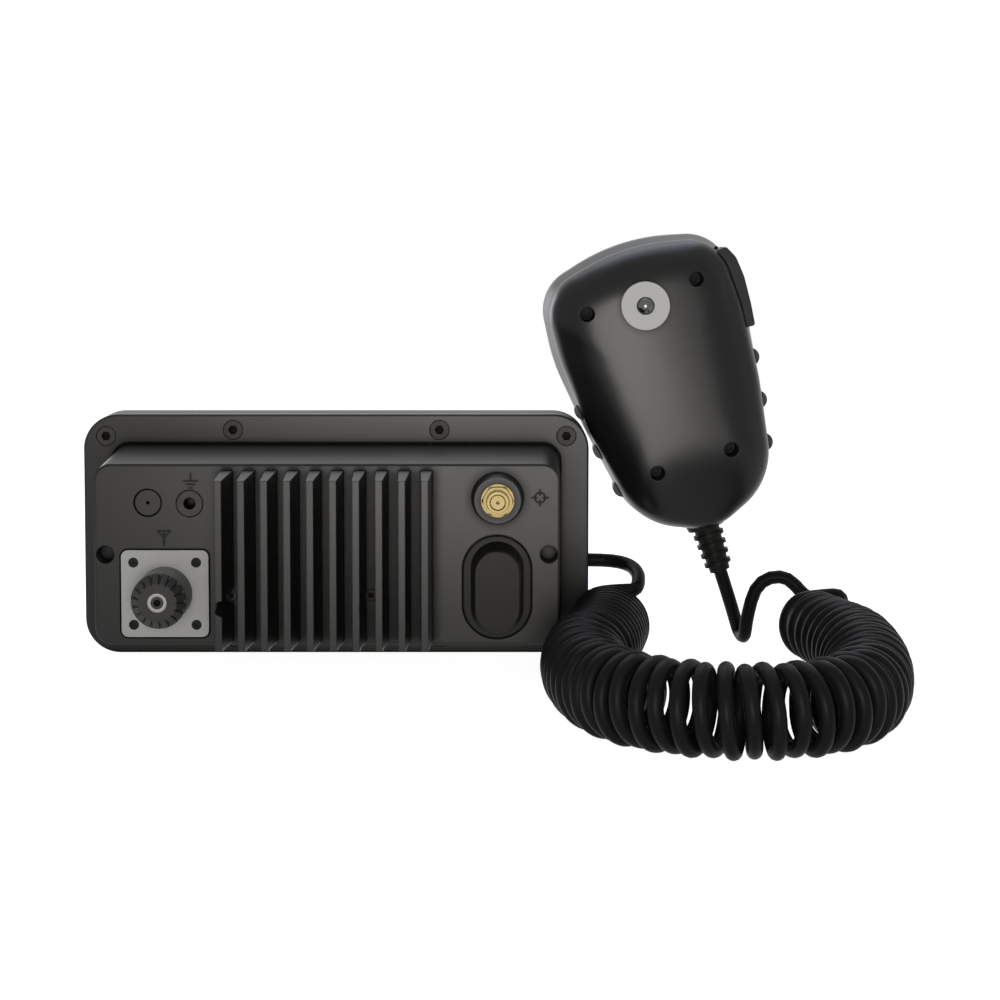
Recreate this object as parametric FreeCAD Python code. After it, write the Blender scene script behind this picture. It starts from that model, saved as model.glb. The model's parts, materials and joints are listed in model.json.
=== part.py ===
import FreeCAD, Part
import math
import os

V = FreeCAD.Vector

# A fixed-mount marine radio with a fist microphone on a curly cord.
# X runs to the right and Y away from someone who looks at the radio's rear, and Z is up.
# The sizes below are set from the middle of the flange's foot, on its rear face.

# Flange and rear casting
FLANGE_W = 155.6
FLANGE_H = 74.0
FLANGE_R = 10.7
FLANGE_T = 4.0
FLANGE_BEVEL = 0.5
CASE_W = 137.2
CASE_BOTTOM = 8.9
CASE_TOP = 64.7
CASE_R = 5.0
CASE_DEPTH = 45.3
CASE_DRAFT_X = 1.0
CASE_DRAFT_Z = 1.5
CASE_BEVEL = 0.6
CASE_WALL = 3.0
ROOT_GROOVE_W = 0.7
ROOT_GROOVE_DEPTH = 0.8

# Cooling fins
FIN_COUNT = 10
FIN_PITCH = 6.42
FIN_ROOT_T = 3.4
FIN_TIP_T = 2.0
FIN_DEPTH = 25.2
FIN_ROOT_Z = (11.7, 61.4)
FIN_TIP_Z = (13.0, 61.0)
AMP_SCREW_X = (-27.9, 12.7)
AMP_SCREW_Z = 24.9
AMP_SCREW_HEAD_R = 1.7
AMP_SCREW_HEAD_T = 1.2
AMP_SCREW_R = 1.2
ACCESS_R = 2.2

# Fit between pieces that are screwed, seated or glued together
SEAT_GAP = 0.1
SHAFT_GAP = 0.05
MOVING_GAP = 0.35
SLIDE_GAP = 0.3

# Antenna socket
SOCKET_X = -47.1
SOCKET_Z = 25.4
SOCKET_PLATE = 25.4
SOCKET_PLATE_R = 2.0
SOCKET_PLATE_T = 1.6
SOCKET_PROUD = 0.2
SOCKET_RIM_GAP = 0.4
SOCKET_R = 7.9
SOCKET_LENGTH = 17.5
SOCKET_CROWN_L = 4.2
SOCKET_CROWN_TIP_R = 5.6
SOCKET_TEETH = 17
SOCKET_TOOTH_GAP = 1.0
SOCKET_TOOTH_DEPTH = 1.0
SOCKET_INSULATOR_R = 2.75
SOCKET_CONTACT_R = 1.8
SOCKET_CONTACT_BORE_R = 1.0
SOCKET_REAR_R = 6.0
SOCKET_REAR_L = 7.0
SOCKET_HOLE_PITCH = 18.2
SOCKET_HOLE_R = 1.45
SOCKET_SCREW_DEPTH = 0.7

# Positioning socket on its boss
GPS_X = 49.4
GPS_Z = 53.3
GPS_BOSS_R = 7.55
GPS_BOSS_FACE_R = 6.8
GPS_BOSS_H = 6.3
GPS_BARREL_R = 3.1
GPS_NECK_R = 3.3
GPS_BARREL_L = 5.6
GPS_BARREL_INNER_R = 2.3
GPS_CORE_R = 2.05
GPS_CORE_INSET = 0.4
GPS_PIN_BORE_R = 0.5
GPS_WASHER_R = 4.8
GPS_WASHER_T = 0.7
GPS_NUT_AF = 8.0
GPS_NUT_T = 2.0
GPS_TAIL_R = 3.9
GPS_TAIL_L = 3.0

# Oval cover over the service port
COVER_X = 49.3
COVER_Z = 27.3
COVER_SEAT_W = 20.4
COVER_SEAT_H = 30.6
COVER_SEAT_DEPTH = 0.8
COVER_BASE_W = 15.1
COVER_BASE_H = 26.6
COVER_FACE_W = 12.7
COVER_FACE_H = 23.0
COVER_FACE_OFFSET = 0.9
COVER_HEIGHT = 9.2
COVER_GROOVE = 0.5
PORT_W = 10.0
PORT_H = 20.0
PORT_PLUG_L = 4.0

# Vent, ground terminal and bracket holes
VENT_X = -51.9
VENT_Z = 51.9
VENT_SEAT_R = 4.1
VENT_R = 3.7
VENT_DEPTH = 1.1
VENT_STEM_R = 2.0
VENT_BORE_R = 0.5
GROUND_X = -39.8
GROUND_Z = 51.7
GROUND_SEAT_R = 3.95
GROUND_R = 3.75
GROUND_HOLE_R = 1.75
GROUND_HOLE_L = 7.0
GROUND_L = 8.5
BRACKET_FROM_SIDE = 4.25
BRACKET_X = CASE_W / 2 - BRACKET_FROM_SIDE
BRACKET_Z = (CASE_BOTTOM + CASE_TOP) / 2
BRACKET_HOLE_R = 2.6
BRACKET_HOLE_L = 8.0
BRACKET_BOSS_R = 5.6

# Flange screws
OUTER_SCREW_FROM_SIDE = 6.9
OUTER_SCREW_X = FLANGE_W / 2 - OUTER_SCREW_FROM_SIDE
OUTER_SCREW_INSET = 6.7
INNER_SCREW_X = 31.8
INNER_SCREW_INSET = 4.8
SCREW_HEAD_R = 2.9
SCREW_HEAD_T = 2.3
SCREW_SEAT_DEPTH = 2.4
SCREW_SOCKET_AF = 2.5
SCREW_SOCKET_DEPTH = 1.6
SCREW_R = 1.4
SCREW_LENGTH = 12.0

# Front housing
FRONT_DEPTH = 19.7
SEAM = 0.2
GASKET_T = 1.0
GASKET_INSET = 8.8
GASKET_W = 2.0
FRONT_WALL = 12.8
FRONT_POCKET_MARGIN = 12.0
FRONT_POCKET_X = FLANGE_W / 2 - FRONT_WALL
FRONT_POCKET_Z = (FRONT_POCKET_MARGIN, FLANGE_H - FRONT_POCKET_MARGIN)
FRONT_POCKET_R = 3.0
FRONT_PLATE_T = 2.5
FRONT_EDGE_R = 2.5

# Display
WINDOW_X = (-33.0, 27.0)
WINDOW_Z = (35.0, 64.5)
WINDOW_R = 2.0
WINDOW_T = 1.5
WINDOW_LEDGE = 2.0
LCD_T = 3.5

# Loudspeaker
SPEAKER_X = 48.5
SPEAKER_Z = 43.5
SPEAKER_R = 15.5
SPEAKER_DEPTH = 10.0
SPEAKER_MAGNET_R = 8.0
SPEAKER_MAGNET_L = 4.0
GRILLE_W = 36.0
GRILLE_R = 5.0
GRILLE_T = 1.5
GRILLE_SLOTS = 9
GRILLE_SLOT_H = 1.6
GRILLE_SLOT_W = 29.0

# Front keys, each (x, z, width, height)
FRONT_KEYS = (
    (18.0, 28.0, 11.0, 5.5), (4.0, 28.0, 11.0, 5.5), (-10.0, 28.0, 11.0, 5.5),
    (-24.0, 28.0, 11.0, 5.5), (8.0, 17.0, 15.0, 6.5), (-14.0, 17.0, 15.0, 6.5),
)
KEY_R = 1.5
KEY_PROUD = 1.3
KEY_TRAVEL = 0.9
KEY_LIP = 1.0
KEY_LIP_T = 1.2
SWITCH_SIZE = 6.0
SWITCH_H = 3.6
SWITCH_PLUNGER_R = 1.6

# Rotary controls, each (x, z, knob radius, knob height)
CHANNEL_KNOB = (-53.5, 48.0, 10.5, 13.0)
VOLUME_KNOB = (-41.5, 20.0, 6.6, 10.5)
SQUELCH_KNOB = (-57.5, 20.0, 6.6, 10.5)
KNOB_STANDOFF = 0.5
KNOB_FLUTES = 18
KNOB_FLUTE_R = 0.8
CONTROL_SHAFT_R = 3.0
CONTROL_BODY = 12.0

# Distress button and its flap
DISTRESS_X = 48.5
DISTRESS_Z = 17.0
DISTRESS_W = 14.0
DISTRESS_H = 7.0
DISTRESS_PROUD = 0.6
FLAP_W = 20.0
FLAP_H = 11.5
FLAP_T = 1.6
FLAP_HINGE_Z = 22.6
FLAP_HINGE_PROUD = 2.6
FLAP_BARREL_R = 1.6
FLAP_PIN_R = 0.8
FLAP_EAR_T = 2.0

# Boards
BOARD_T = 1.6
FRONT_BOARD_Y = 7.2
FRONT_BOARD_MARGIN = 1.2
FRONT_BOARD_X = (FRONT_BOARD_MARGIN - FRONT_POCKET_X, 29.5)
FRONT_BOARD_Z = (FRONT_POCKET_Z[0] + FRONT_BOARD_MARGIN, FRONT_POCKET_Z[1] - FRONT_BOARD_MARGIN)
BOARD_SIDE_GAP = 3.6
BOARD_EDGE_GAP = 1.4
MAIN_BOARD_X = CASE_W / 2 - CASE_DRAFT_X - CASE_WALL - BOARD_SIDE_GAP
MAIN_BOARD_Z = (
    CASE_BOTTOM + CASE_DRAFT_Z + CASE_WALL + BOARD_EDGE_GAP,
    CASE_TOP - CASE_DRAFT_Z - CASE_WALL - BOARD_EDGE_GAP,
)
POST_INSET_X = 2.5
POST_INSET_Z = 3.2
POST_L = 14.3
POST_R = 3.0
POST_X = MAIN_BOARD_X - POST_INSET_X
POST_Z = (MAIN_BOARD_Z[0] + POST_INSET_Z, MAIN_BOARD_Z[1] - POST_INSET_Z)
AMP_X = (-33.0, 18.0)
AMP_Z = (19.5, 30.3)
AMP_T = 6.0
CAN_T = 4.5
CANS = ((-48.0, -8.0), (2.0, 42.0))
CAN_Z = (26.0, 52.0)
RIBBON_W = 26.0
RIBBON_T = 0.4
RIBBON_Z = 19.0
HEADER_L = 4.0
HEADER_H = 4.0

# Cord
CORD_D = 4.2
GLAND_Y = 9.4
GLAND_Z = 27.6
GLAND_R = 3.6
GLAND_L = 9.0
COIL_PITCH = 4.75
COIL_CLEAR = 0.55
COIL_TUCK = 1.15
COIL_TUCK_SHAPE = 0.8
COIL_OD = 24.2
COIL_END_OD = 21.4
COIL_TAPER = 60.0
FLOOR_GAP = 0.05
COIL_STEPS = 24
COIL_ROUTE = (
    (83.7, -18.0), (80.3, -44.8), (70.8, -86.4), (77.8, -128.9), (100.4, -148.4),
    (124.8, -147.8), (142.5, -130.4), (150.3, -91.8), (150.9, -43.5), (145.4, -11.0),
)
RADIO_LEAD_FIRST_RUN = 7.0
RADIO_LEAD = ((90.8, 4.6, 26.9), (93.0, -3.5, 25.4), (92.6, -11.8, 23.7))
RADIO_LEAD_LAST_RUN = 3.4
MIC_LEAD_FIRST_RUN = 5.5
MIC_LEAD = (
    (156.0, -2.8, 13.8), (152.6, 4.5, 13.0), (145.6, 6.5, 16.4), (139.8, 7.5, 23.4),
    (130.8, 8.4, 21.0), (127.8, 9.2, 9.0), (127.6, 11.5, 2.4), (126.8, 22.0, 2.4),
)
MIC_LEAD_LAST_RUN = 12.5

# Fist microphone: its own frame has x to the right, y to the front and z to its top
MIC_FROM_SIDE = 24.6
MIC_DEPTH = 13.0
MIC_ABOVE_TOP = 9.9
MIC_AT = V(FLANGE_W / 2 + MIC_FROM_SIDE, MIC_DEPTH, FLANGE_H + MIC_ABOVE_TOP)
MIC_LEAN = 18.0
MIC_REAR_CORNERS = (
    (0.0, 44.3), (28.9, 37.7), (29.9, 16.0), (27.9, -8.0), (22.4, -40.0), (0.0, -49.7),
)
MIC_FRONT_CORNERS = (
    (0.0, 46.6), (29.4, 38.9), (31.8, 16.0), (28.8, -8.0), (23.0, -40.0), (0.0, -50.1),
)
MIC_RADII = (60.0, 14.0, 60.0, 100.0, 22.0, 17.0)
MIC_WALL = 2.2
MIC_SEAM = 0.15
MIC_REAR = ((0.0, 0.0), (5.5, 0.4), (9.6, 1.9), (12.3, 5.0), (13.8, 9.5), (14.3, 14.0))
MIC_FRONT = ((0.0, 0.0), (7.0, 0.0), (11.0, 0.0), (14.0, 1.3), (15.8, 4.8))
MIC_FLARE = (0.0, 0.85, 1.0, 1.0, 1.0)
MIC_REAR_TOP = 14.3
MIC_SCREWS = ((17.55, 27.65), (11.9, -25.6))
MIC_SCREW_WELL_R = 2.3
MIC_SCREW_HEAD_R = 2.1
MIC_SCREW_HEAD_T = 1.8
MIC_SCREW_R = 1.1
MIC_COLUMN_R = 3.6
MIC_WELL_FLOOR = 2.4
MIC_THREAD_END = 8.0
HANGUP_Z = 24.9
HANGUP_R = 7.4
HANGUP_T = 1.8
HANGUP_NECK_R = 4.6
HANGUP_NECK_L = 2.8
HANGUP_STUD_R = 2.75
HANGUP_STUD_H = 1.9
PTT_OUTLINE = (
    (24.6, 33.4), (30.0, 34.0), (32.0, 30.0), (32.6, 23.5), (32.1, 15.0), (31.3, 8.0), (25.4, 8.2),
)
PTT_Y = (-5.0, 9.0)
PTT_PIN_X = 27.0
PTT_PIN_Z = 10.6
PTT_PIN_R = 0.9
PTT_TRAVEL_DEG = 5.0
PTT_SWING_ROOM = 0.3
PTT_SWITCH_Z = 28.0
MIC_BOARD_X = 20.4
MIC_BOARD_Z = (-32.5, 32.0)
MIC_BOARD_Y = 3.0
MIC_KEYS = (-9.2, 0.0, 9.2)
MIC_KEY_Z = 29.0
MIC_KEY_W = 7.2
MIC_KEY_H = 6.0
MIC_SPEAKER_R = 14.0
MIC_SPEAKER_Z = 2.0
MIC_SPEAKER_T = 5.0
MIC_SLOTS = 7
MIC_SLOT_PITCH = 4.0
MIC_SLOT_H = 1.8
MIC_CAPSULE_R = 3.0
MIC_CAPSULE_Z = -27.0
RIB_Z = (-1.5, -15.0, -28.3)
RIB_R = 2.9
RIB_PROUD = 1.8
RIB_Y = (1.0, 9.0)
RELIEF_X = -1.9
RELIEF_Y = 2.0
RELIEF_TOP = -45.0
RELIEF_COLLAR_R = 6.6
RELIEF_COLLAR_END = -48.4
RELIEF_END = -62.8
RELIEF_ROOT_R = 4.1
RELIEF_TIP_R = 3.2
RELIEF_RIB_R = 0.9
RELIEF_RIBS = 4

# Places that follow from the sizes
FRONT_INNER_Y = FRONT_DEPTH - FRONT_PLATE_T
CASE_INNER_Y = -CASE_DEPTH + CASE_WALL
MAIN_BOARD_REAR = CASE_INNER_Y + POST_L
MAIN_BOARD_FRONT = MAIN_BOARD_REAR + BOARD_T
FRONT_BOARD_FRONT = FRONT_BOARD_Y + BOARD_T
SCREW_PLACES = [
    (side * x, z)
    for x, inset in ((OUTER_SCREW_X, OUTER_SCREW_INSET), (INNER_SCREW_X, INNER_SCREW_INSET))
    for side in (-1, 1)
    for z in (inset, FLANGE_H - inset)
]
SOCKET_HOLES = [
    (SOCKET_X + sx * SOCKET_HOLE_PITCH / 2, SOCKET_Z + sz * SOCKET_HOLE_PITCH / 2)
    for sx in (-1, 1) for sz in (-1, 1)
]
MIC_SCREW_PLACES = [(side * x, z) for x, z in MIC_SCREWS for side in (-1, 1)]
MIC_PLACE = FreeCAD.Placement(MIC_AT, FreeCAD.Rotation(V(0, 1, 0), -MIC_LEAN))


def rounded_wire(corners, radii, y):
    """A closed outline at one depth, with each corner rounded by its own radius."""
    points = [V(x, y, z) for x, z in corners]
    count = len(points)
    starts, ends, arcs = [], [], []
    for i, point in enumerate(points):
        to_last = (points[i - 1] - point).normalize()
        to_next = (points[(i + 1) % count] - point).normalize()
        half = to_last.getAngle(to_next) / 2
        if radii[i] <= 0 or math.pi / 2 - half < 1e-6:
            starts.append(point)
            ends.append(point)
            arcs.append(None)
            continue
        reach = radii[i] / math.tan(half)
        inward = (to_last + to_next).normalize()
        middle = point + inward * (radii[i] / math.sin(half) - radii[i])
        starts.append(point + to_last * reach)
        ends.append(point + to_next * reach)
        arcs.append(Part.Arc(starts[-1], middle, ends[-1]).toShape())
    edges = []
    for i in range(count):
        if arcs[i]:
            edges.append(arcs[i])
        after = starts[(i + 1) % count]
        if (after - ends[i]).Length > 1e-6:
            edges.append(Part.makeLine(ends[i], after))
    return Part.Wire(edges)


def rect(x0, x1, z0, z1):
    return ((x0, z0), (x1, z0), (x1, z1), (x0, z1))


def middle_rect(x, z, width, height):
    return rect(x - width / 2, x + width / 2, z - height / 2, z + height / 2)


def prism(corners, radii, y0, y1):
    if not isinstance(radii, (tuple, list)):
        radii = [radii] * len(corners)
    return Part.Face(rounded_wire(corners, radii, y0)).extrude(V(0, y1 - y0, 0))


def box(x0, x1, y0, y1, z0, z1):
    return Part.makeBox(x1 - x0, y1 - y0, z1 - z0, V(x0, y0, z0))


def rod(x, z, radius, y0, y1):
    return Part.makeCylinder(radius, y1 - y0, V(x, y0, z), V(0, 1, 0))


def cone(x, z, radius0, radius1, y0, y1):
    return Part.makeCone(radius0, radius1, y1 - y0, V(x, y0, z), V(0, 1, 0))


def hexagon(x, z, across_flats, y0, y1):
    reach = across_flats / math.sqrt(3)
    corners = [
        (x + reach * math.cos(math.radians(60 * i)), z + reach * math.sin(math.radians(60 * i)))
        for i in range(6)
    ]
    return prism(corners, 0, y0, y1)


def loft(wires, ruled=True):
    return Part.makeLoft(wires, True, ruled)


def joined(shapes):
    return shapes[0].multiFuse(shapes[1:]) if len(shapes) > 1 else shapes[0]


def group(shapes):
    return Part.makeCompound(shapes)


def flange_outline(inset):
    corners = rect(-FLANGE_W / 2 + inset, FLANGE_W / 2 - inset, inset, FLANGE_H - inset)
    return corners, max(FLANGE_R - inset, 1.0)


def case_wire(inset, depth, y):
    """The casting's drafted outline, a share of the depth behind the flange."""
    share = depth / CASE_DEPTH
    x = CASE_W / 2 - CASE_DRAFT_X * share - inset
    z0 = CASE_BOTTOM + CASE_DRAFT_Z * share + inset
    z1 = CASE_TOP - CASE_DRAFT_Z * share - inset
    radius = max(CASE_R - inset, 1.0)
    return rounded_wire(rect(-x, x, z0, z1), [radius] * 4, y)


def case_body():
    return loft([
        case_wire(0, 0, 0),
        case_wire(0, CASE_DEPTH - CASE_BEVEL, -CASE_DEPTH + CASE_BEVEL),
        case_wire(CASE_BEVEL, CASE_DEPTH, -CASE_DEPTH),
    ])


def fin(x):
    def section(thickness, heights, y):
        return rounded_wire(rect(x - thickness / 2, x + thickness / 2, *heights), [0] * 4, y)
    return loft([
        section(FIN_ROOT_T, FIN_ROOT_Z, -CASE_DEPTH),
        section(FIN_TIP_T, FIN_TIP_Z, -CASE_DEPTH - FIN_DEPTH),
    ])


def fins():
    first = -(FIN_COUNT - 1) / 2 * FIN_PITCH
    return [fin(first + i * FIN_PITCH) for i in range(FIN_COUNT)]


def case_cavity():
    """The room inside the casting, less the posts and the bracket bosses that stand in it."""
    room = loft([
        case_wire(CASE_WALL, 0, FLANGE_T),
        case_wire(CASE_WALL, CASE_DEPTH - CASE_WALL, CASE_INNER_Y),
    ])
    keep = [rod(x, z, POST_R, CASE_INNER_Y, MAIN_BOARD_REAR)
            for x in (-POST_X, POST_X) for z in POST_Z]
    boss_front = -CASE_DEPTH + BRACKET_HOLE_L + CASE_WALL
    keep += [rod(side * BRACKET_X, BRACKET_Z, BRACKET_BOSS_R, CASE_INNER_Y, boss_front)
             for side in (-1, 1)]
    return room.cut(joined(keep))


def socket_recess():
    size = SOCKET_PLATE + 2 * SOCKET_RIM_GAP
    floor = -CASE_DEPTH - SOCKET_PROUD + SOCKET_PLATE_T
    radius = SOCKET_PLATE_R + SOCKET_RIM_GAP
    return prism(middle_rect(SOCKET_X, SOCKET_Z, size, size), radius, -CASE_DEPTH - 1, floor)


def oval(width, height, offset_z, y0, y1):
    corners = middle_rect(COVER_X, COVER_Z + offset_z, width, height)
    return prism(corners, width / 2 - 0.01, y0, y1)


def rear_chassis():
    corners, radius = flange_outline(0)
    bevel, bevel_radius = flange_outline(FLANGE_BEVEL)
    flange = prism(corners, radius, FLANGE_BEVEL, FLANGE_T)
    lip = loft([
        rounded_wire(bevel, [bevel_radius] * 4, 0),
        rounded_wire(corners, [radius] * 4, FLANGE_BEVEL),
    ])
    outside = case_wire(-ROOT_GROOVE_W, 0, 0)
    groove = Part.Face(outside).extrude(V(0, ROOT_GROOVE_DEPTH, 0))
    plate = joined([flange, lip]).cut(groove)
    floor = case_wire(0, 0, 0)
    neck = Part.Face(floor).extrude(V(0, FLANGE_T, 0))
    gps_boss = cone(GPS_X, GPS_Z, GPS_BOSS_FACE_R, GPS_BOSS_R, -CASE_DEPTH - GPS_BOSS_H, -CASE_DEPTH)
    solid = joined([plate, neck, case_body(), gps_boss] + fins())
    solid = solid.cut(case_cavity())
    rear = -CASE_DEPTH - 1
    inner = CASE_INNER_Y + 1
    cuts = [socket_recess(), rod(SOCKET_X, SOCKET_Z, SOCKET_REAR_R + SEAT_GAP, rear, inner)]
    cuts += [rod(x, z, SOCKET_HOLE_R - 0.2, rear, inner) for x, z in SOCKET_HOLES]
    cuts.append(rod(GPS_X, GPS_Z, GPS_NECK_R + SEAT_GAP, -CASE_DEPTH - GPS_BOSS_H - 1, inner))
    cuts.append(oval(COVER_SEAT_W, COVER_SEAT_H, 0, rear, -CASE_DEPTH + COVER_SEAT_DEPTH))
    cuts.append(oval(PORT_W + 2 * SEAT_GAP, PORT_H + 2 * SEAT_GAP, 0, rear, inner))
    cuts.append(rod(VENT_X, VENT_Z, VENT_SEAT_R, rear, -CASE_DEPTH + VENT_DEPTH))
    cuts.append(rod(VENT_X, VENT_Z, VENT_STEM_R + SEAT_GAP, rear, inner))
    cuts.append(rod(GROUND_X, GROUND_Z, GROUND_SEAT_R, rear, inner))
    cuts += [rod(side * BRACKET_X, BRACKET_Z, BRACKET_HOLE_R, rear, -CASE_DEPTH + BRACKET_HOLE_L)
             for side in (-1, 1)]
    for x in AMP_SCREW_X:
        cuts.append(rod(x, AMP_SCREW_Z, ACCESS_R, -CASE_DEPTH - FIN_DEPTH - 1, -CASE_DEPTH))
        cuts.append(rod(x, AMP_SCREW_Z, AMP_SCREW_HEAD_R + SEAT_GAP, rear, -CASE_DEPTH + AMP_SCREW_HEAD_T))
        cuts.append(rod(x, AMP_SCREW_Z, AMP_SCREW_R + SEAT_GAP, rear, inner))
    for x, z in SCREW_PLACES:
        cuts.append(rod(x, z, SCREW_HEAD_R + SEAT_GAP, -1, SCREW_SEAT_DEPTH))
        cuts.append(rod(x, z, SCREW_R + SEAT_GAP, -1, FLANGE_T + 1))
    post_holes = [rod(x, z, SCREW_R, MAIN_BOARD_REAR - 6, MAIN_BOARD_REAR + 1)
                  for x in (-POST_X, POST_X) for z in POST_Z]
    return solid.cut(cuts + post_holes)


def screw(x, z, y, head_r, head_t, shank_r, length, socket_af, socket_depth):
    """A socket screw that is driven from the rear, its head's face at y."""
    body = rod(x, z, head_r, y, y + head_t).fuse(rod(x, z, shank_r, y + head_t, y + length))
    return body.cut(hexagon(x, z, socket_af, y - 1, y + socket_depth))


def flange_screws():
    y = SCREW_SEAT_DEPTH - SCREW_HEAD_T
    return group([
        screw(x, z, y, SCREW_HEAD_R, SCREW_HEAD_T, SCREW_R, SCREW_LENGTH, SCREW_SOCKET_AF, SCREW_SOCKET_DEPTH)
        for x, z in SCREW_PLACES
    ])


def amplifier_screws():
    length = CASE_WALL + AMP_T - 1
    return group([
        screw(x, AMP_SCREW_Z, -CASE_DEPTH, AMP_SCREW_HEAD_R, AMP_SCREW_HEAD_T, AMP_SCREW_R, length, 1.5, 0.7)
        for x in AMP_SCREW_X
    ])


def power_amplifier():
    block = box(*AMP_X, CASE_INNER_Y, CASE_INNER_Y + AMP_T, *AMP_Z)
    holes = [rod(x, AMP_SCREW_Z, AMP_SCREW_R + SEAT_GAP / 2, CASE_INNER_Y - 1, CASE_INNER_Y + AMP_T + 1)
             for x in AMP_SCREW_X]
    return block.cut(holes)


def socket_front():
    return -CASE_DEPTH - SOCKET_PROUD


def antenna_socket_body():
    front = socket_front()
    plate = prism(middle_rect(SOCKET_X, SOCKET_Z, SOCKET_PLATE, SOCKET_PLATE), SOCKET_PLATE_R,
                  front, front + SOCKET_PLATE_T)
    crown_base = front - SOCKET_LENGTH + SOCKET_CROWN_L
    barrel = rod(SOCKET_X, SOCKET_Z, SOCKET_R, crown_base, front)
    tail = rod(SOCKET_X, SOCKET_Z, SOCKET_REAR_R, front + SOCKET_PLATE_T, front + SOCKET_REAR_L)
    holes = [rod(x, z, SOCKET_HOLE_R, front - 1, front + SOCKET_PLATE_T + 1) for x, z in SOCKET_HOLES]
    bore = rod(SOCKET_X, SOCKET_Z, SOCKET_INSULATOR_R, crown_base - 1, front + SOCKET_REAR_L + 1)
    return joined([plate, barrel, tail, antenna_socket_crown()]).cut(holes + [bore])


def antenna_socket_crown():
    """The serrated end of the barrel, whose notches hold a plug from turning."""
    tip = socket_front() - SOCKET_LENGTH
    base = tip + SOCKET_CROWN_L
    straight = base - 0.8
    crown = cone(SOCKET_X, SOCKET_Z, SOCKET_CROWN_TIP_R, SOCKET_R, tip, straight)
    crown = crown.fuse(rod(SOCKET_X, SOCKET_Z, SOCKET_R, straight, base))
    notches = []
    for i in range(SOCKET_TEETH):
        wires = []
        for y, radius in ((tip - 0.5, SOCKET_CROWN_TIP_R - 0.1), (straight + 0.2, SOCKET_R - 0.1)):
            floor = radius - SOCKET_TOOTH_DEPTH * radius / SOCKET_R
            half = SOCKET_TOOTH_GAP / 2 * radius / SOCKET_R
            corners = ((floor, 0.0), (radius + 1.5, half * 3), (radius + 1.5, -half * 3))
            wires.append(Part.makePolygon([V(x, y, z) for x, z in corners + corners[:1]]))
        notch = loft(wires)
        notch.rotate(V(0, 0, 0), V(0, 1, 0), 360.0 / SOCKET_TEETH * i)
        notch.translate(V(SOCKET_X, 0, SOCKET_Z))
        notches.append(notch)
    bore = rod(SOCKET_X, SOCKET_Z, SOCKET_INSULATOR_R, tip - 1, base + 1)
    return crown.cut(notches + [bore])


def antenna_socket_insulator():
    tip = socket_front() - SOCKET_LENGTH
    body = rod(SOCKET_X, SOCKET_Z, SOCKET_INSULATOR_R, tip + 0.5, socket_front() + SOCKET_REAR_L)
    return body.cut(rod(SOCKET_X, SOCKET_Z, SOCKET_CONTACT_R, tip, socket_front() + SOCKET_REAR_L + 1))


def antenna_socket_contact():
    tip = socket_front() - SOCKET_LENGTH
    body = rod(SOCKET_X, SOCKET_Z, SOCKET_CONTACT_R, tip + 0.2, socket_front() + SOCKET_REAR_L + 3)
    return body.cut(rod(SOCKET_X, SOCKET_Z, SOCKET_CONTACT_BORE_R, tip - 1, tip + 12))


def antenna_socket_screws():
    y = socket_front() + SOCKET_SCREW_DEPTH
    head = SOCKET_PLATE_T - SOCKET_SCREW_DEPTH
    return group([
        screw(x, z, y, SOCKET_HOLE_R - SEAT_GAP / 2, head, SOCKET_HOLE_R - 0.25, head + 1.5, 1.3, 0.6)
        for x, z in SOCKET_HOLES
    ])


def gps_face():
    return -CASE_DEPTH - GPS_BOSS_H


def gps_socket_body():
    face = gps_face()
    tip = face - GPS_BARREL_L
    nut_face = face - GPS_WASHER_T - GPS_NUT_T
    barrel = rod(GPS_X, GPS_Z, GPS_BARREL_R, tip, nut_face)
    barrel = barrel.fuse(rod(GPS_X, GPS_Z, GPS_NECK_R, nut_face, CASE_INNER_Y))
    tail = rod(GPS_X, GPS_Z, GPS_TAIL_R, CASE_INNER_Y, CASE_INNER_Y + GPS_TAIL_L)
    bore = rod(GPS_X, GPS_Z, GPS_BARREL_INNER_R, tip - 1, tip + 3.5)
    core = rod(GPS_X, GPS_Z, GPS_CORE_R, tip + GPS_CORE_INSET, tip + 3.5)
    pin = rod(GPS_X, GPS_Z, GPS_PIN_BORE_R, tip - 1, tip + 3.0)
    return joined([barrel.fuse(tail).cut(bore), core]).cut(pin)


def gps_socket_nut():
    face = gps_face()
    washer = rod(GPS_X, GPS_Z, GPS_WASHER_R, face - GPS_WASHER_T, face)
    nut = hexagon(GPS_X, GPS_Z, GPS_NUT_AF, face - GPS_WASHER_T - GPS_NUT_T, face - GPS_WASHER_T)
    chamfer = cone(GPS_X, GPS_Z, GPS_NUT_AF * 0.52, GPS_NUT_AF * 0.72,
                   face - GPS_WASHER_T - GPS_NUT_T, face - GPS_WASHER_T)
    bore = rod(GPS_X, GPS_Z, GPS_NECK_R + SHAFT_GAP, face - 5, face + 1)
    return washer.fuse(nut.common(chamfer)).cut(bore)


def rear_port_cover():
    """A moulded oval cap whose plug fills the service port."""
    floor = -CASE_DEPTH + COVER_SEAT_DEPTH
    rim = oval(COVER_SEAT_W - 2 * COVER_GROOVE, COVER_SEAT_H - 2 * COVER_GROOVE, 0, -CASE_DEPTH, floor)

    def step(width, height, offset_z, y):
        corners = middle_rect(COVER_X, COVER_Z + offset_z, width, height)
        return rounded_wire(corners, [width / 2 - 0.01] * 4, y)
    top = -CASE_DEPTH - COVER_HEIGHT
    cap = loft([
        step(COVER_BASE_W, COVER_BASE_H, 0, -CASE_DEPTH),
        step(COVER_FACE_W + 0.8, COVER_FACE_H + 0.8, 0, top + 0.5),
        step(COVER_FACE_W, COVER_FACE_H, 0, top),
    ])
    plug = oval(PORT_W, PORT_H, 0, floor, CASE_INNER_Y + PORT_PLUG_L)
    return joined([rim, cap, plug])


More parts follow.
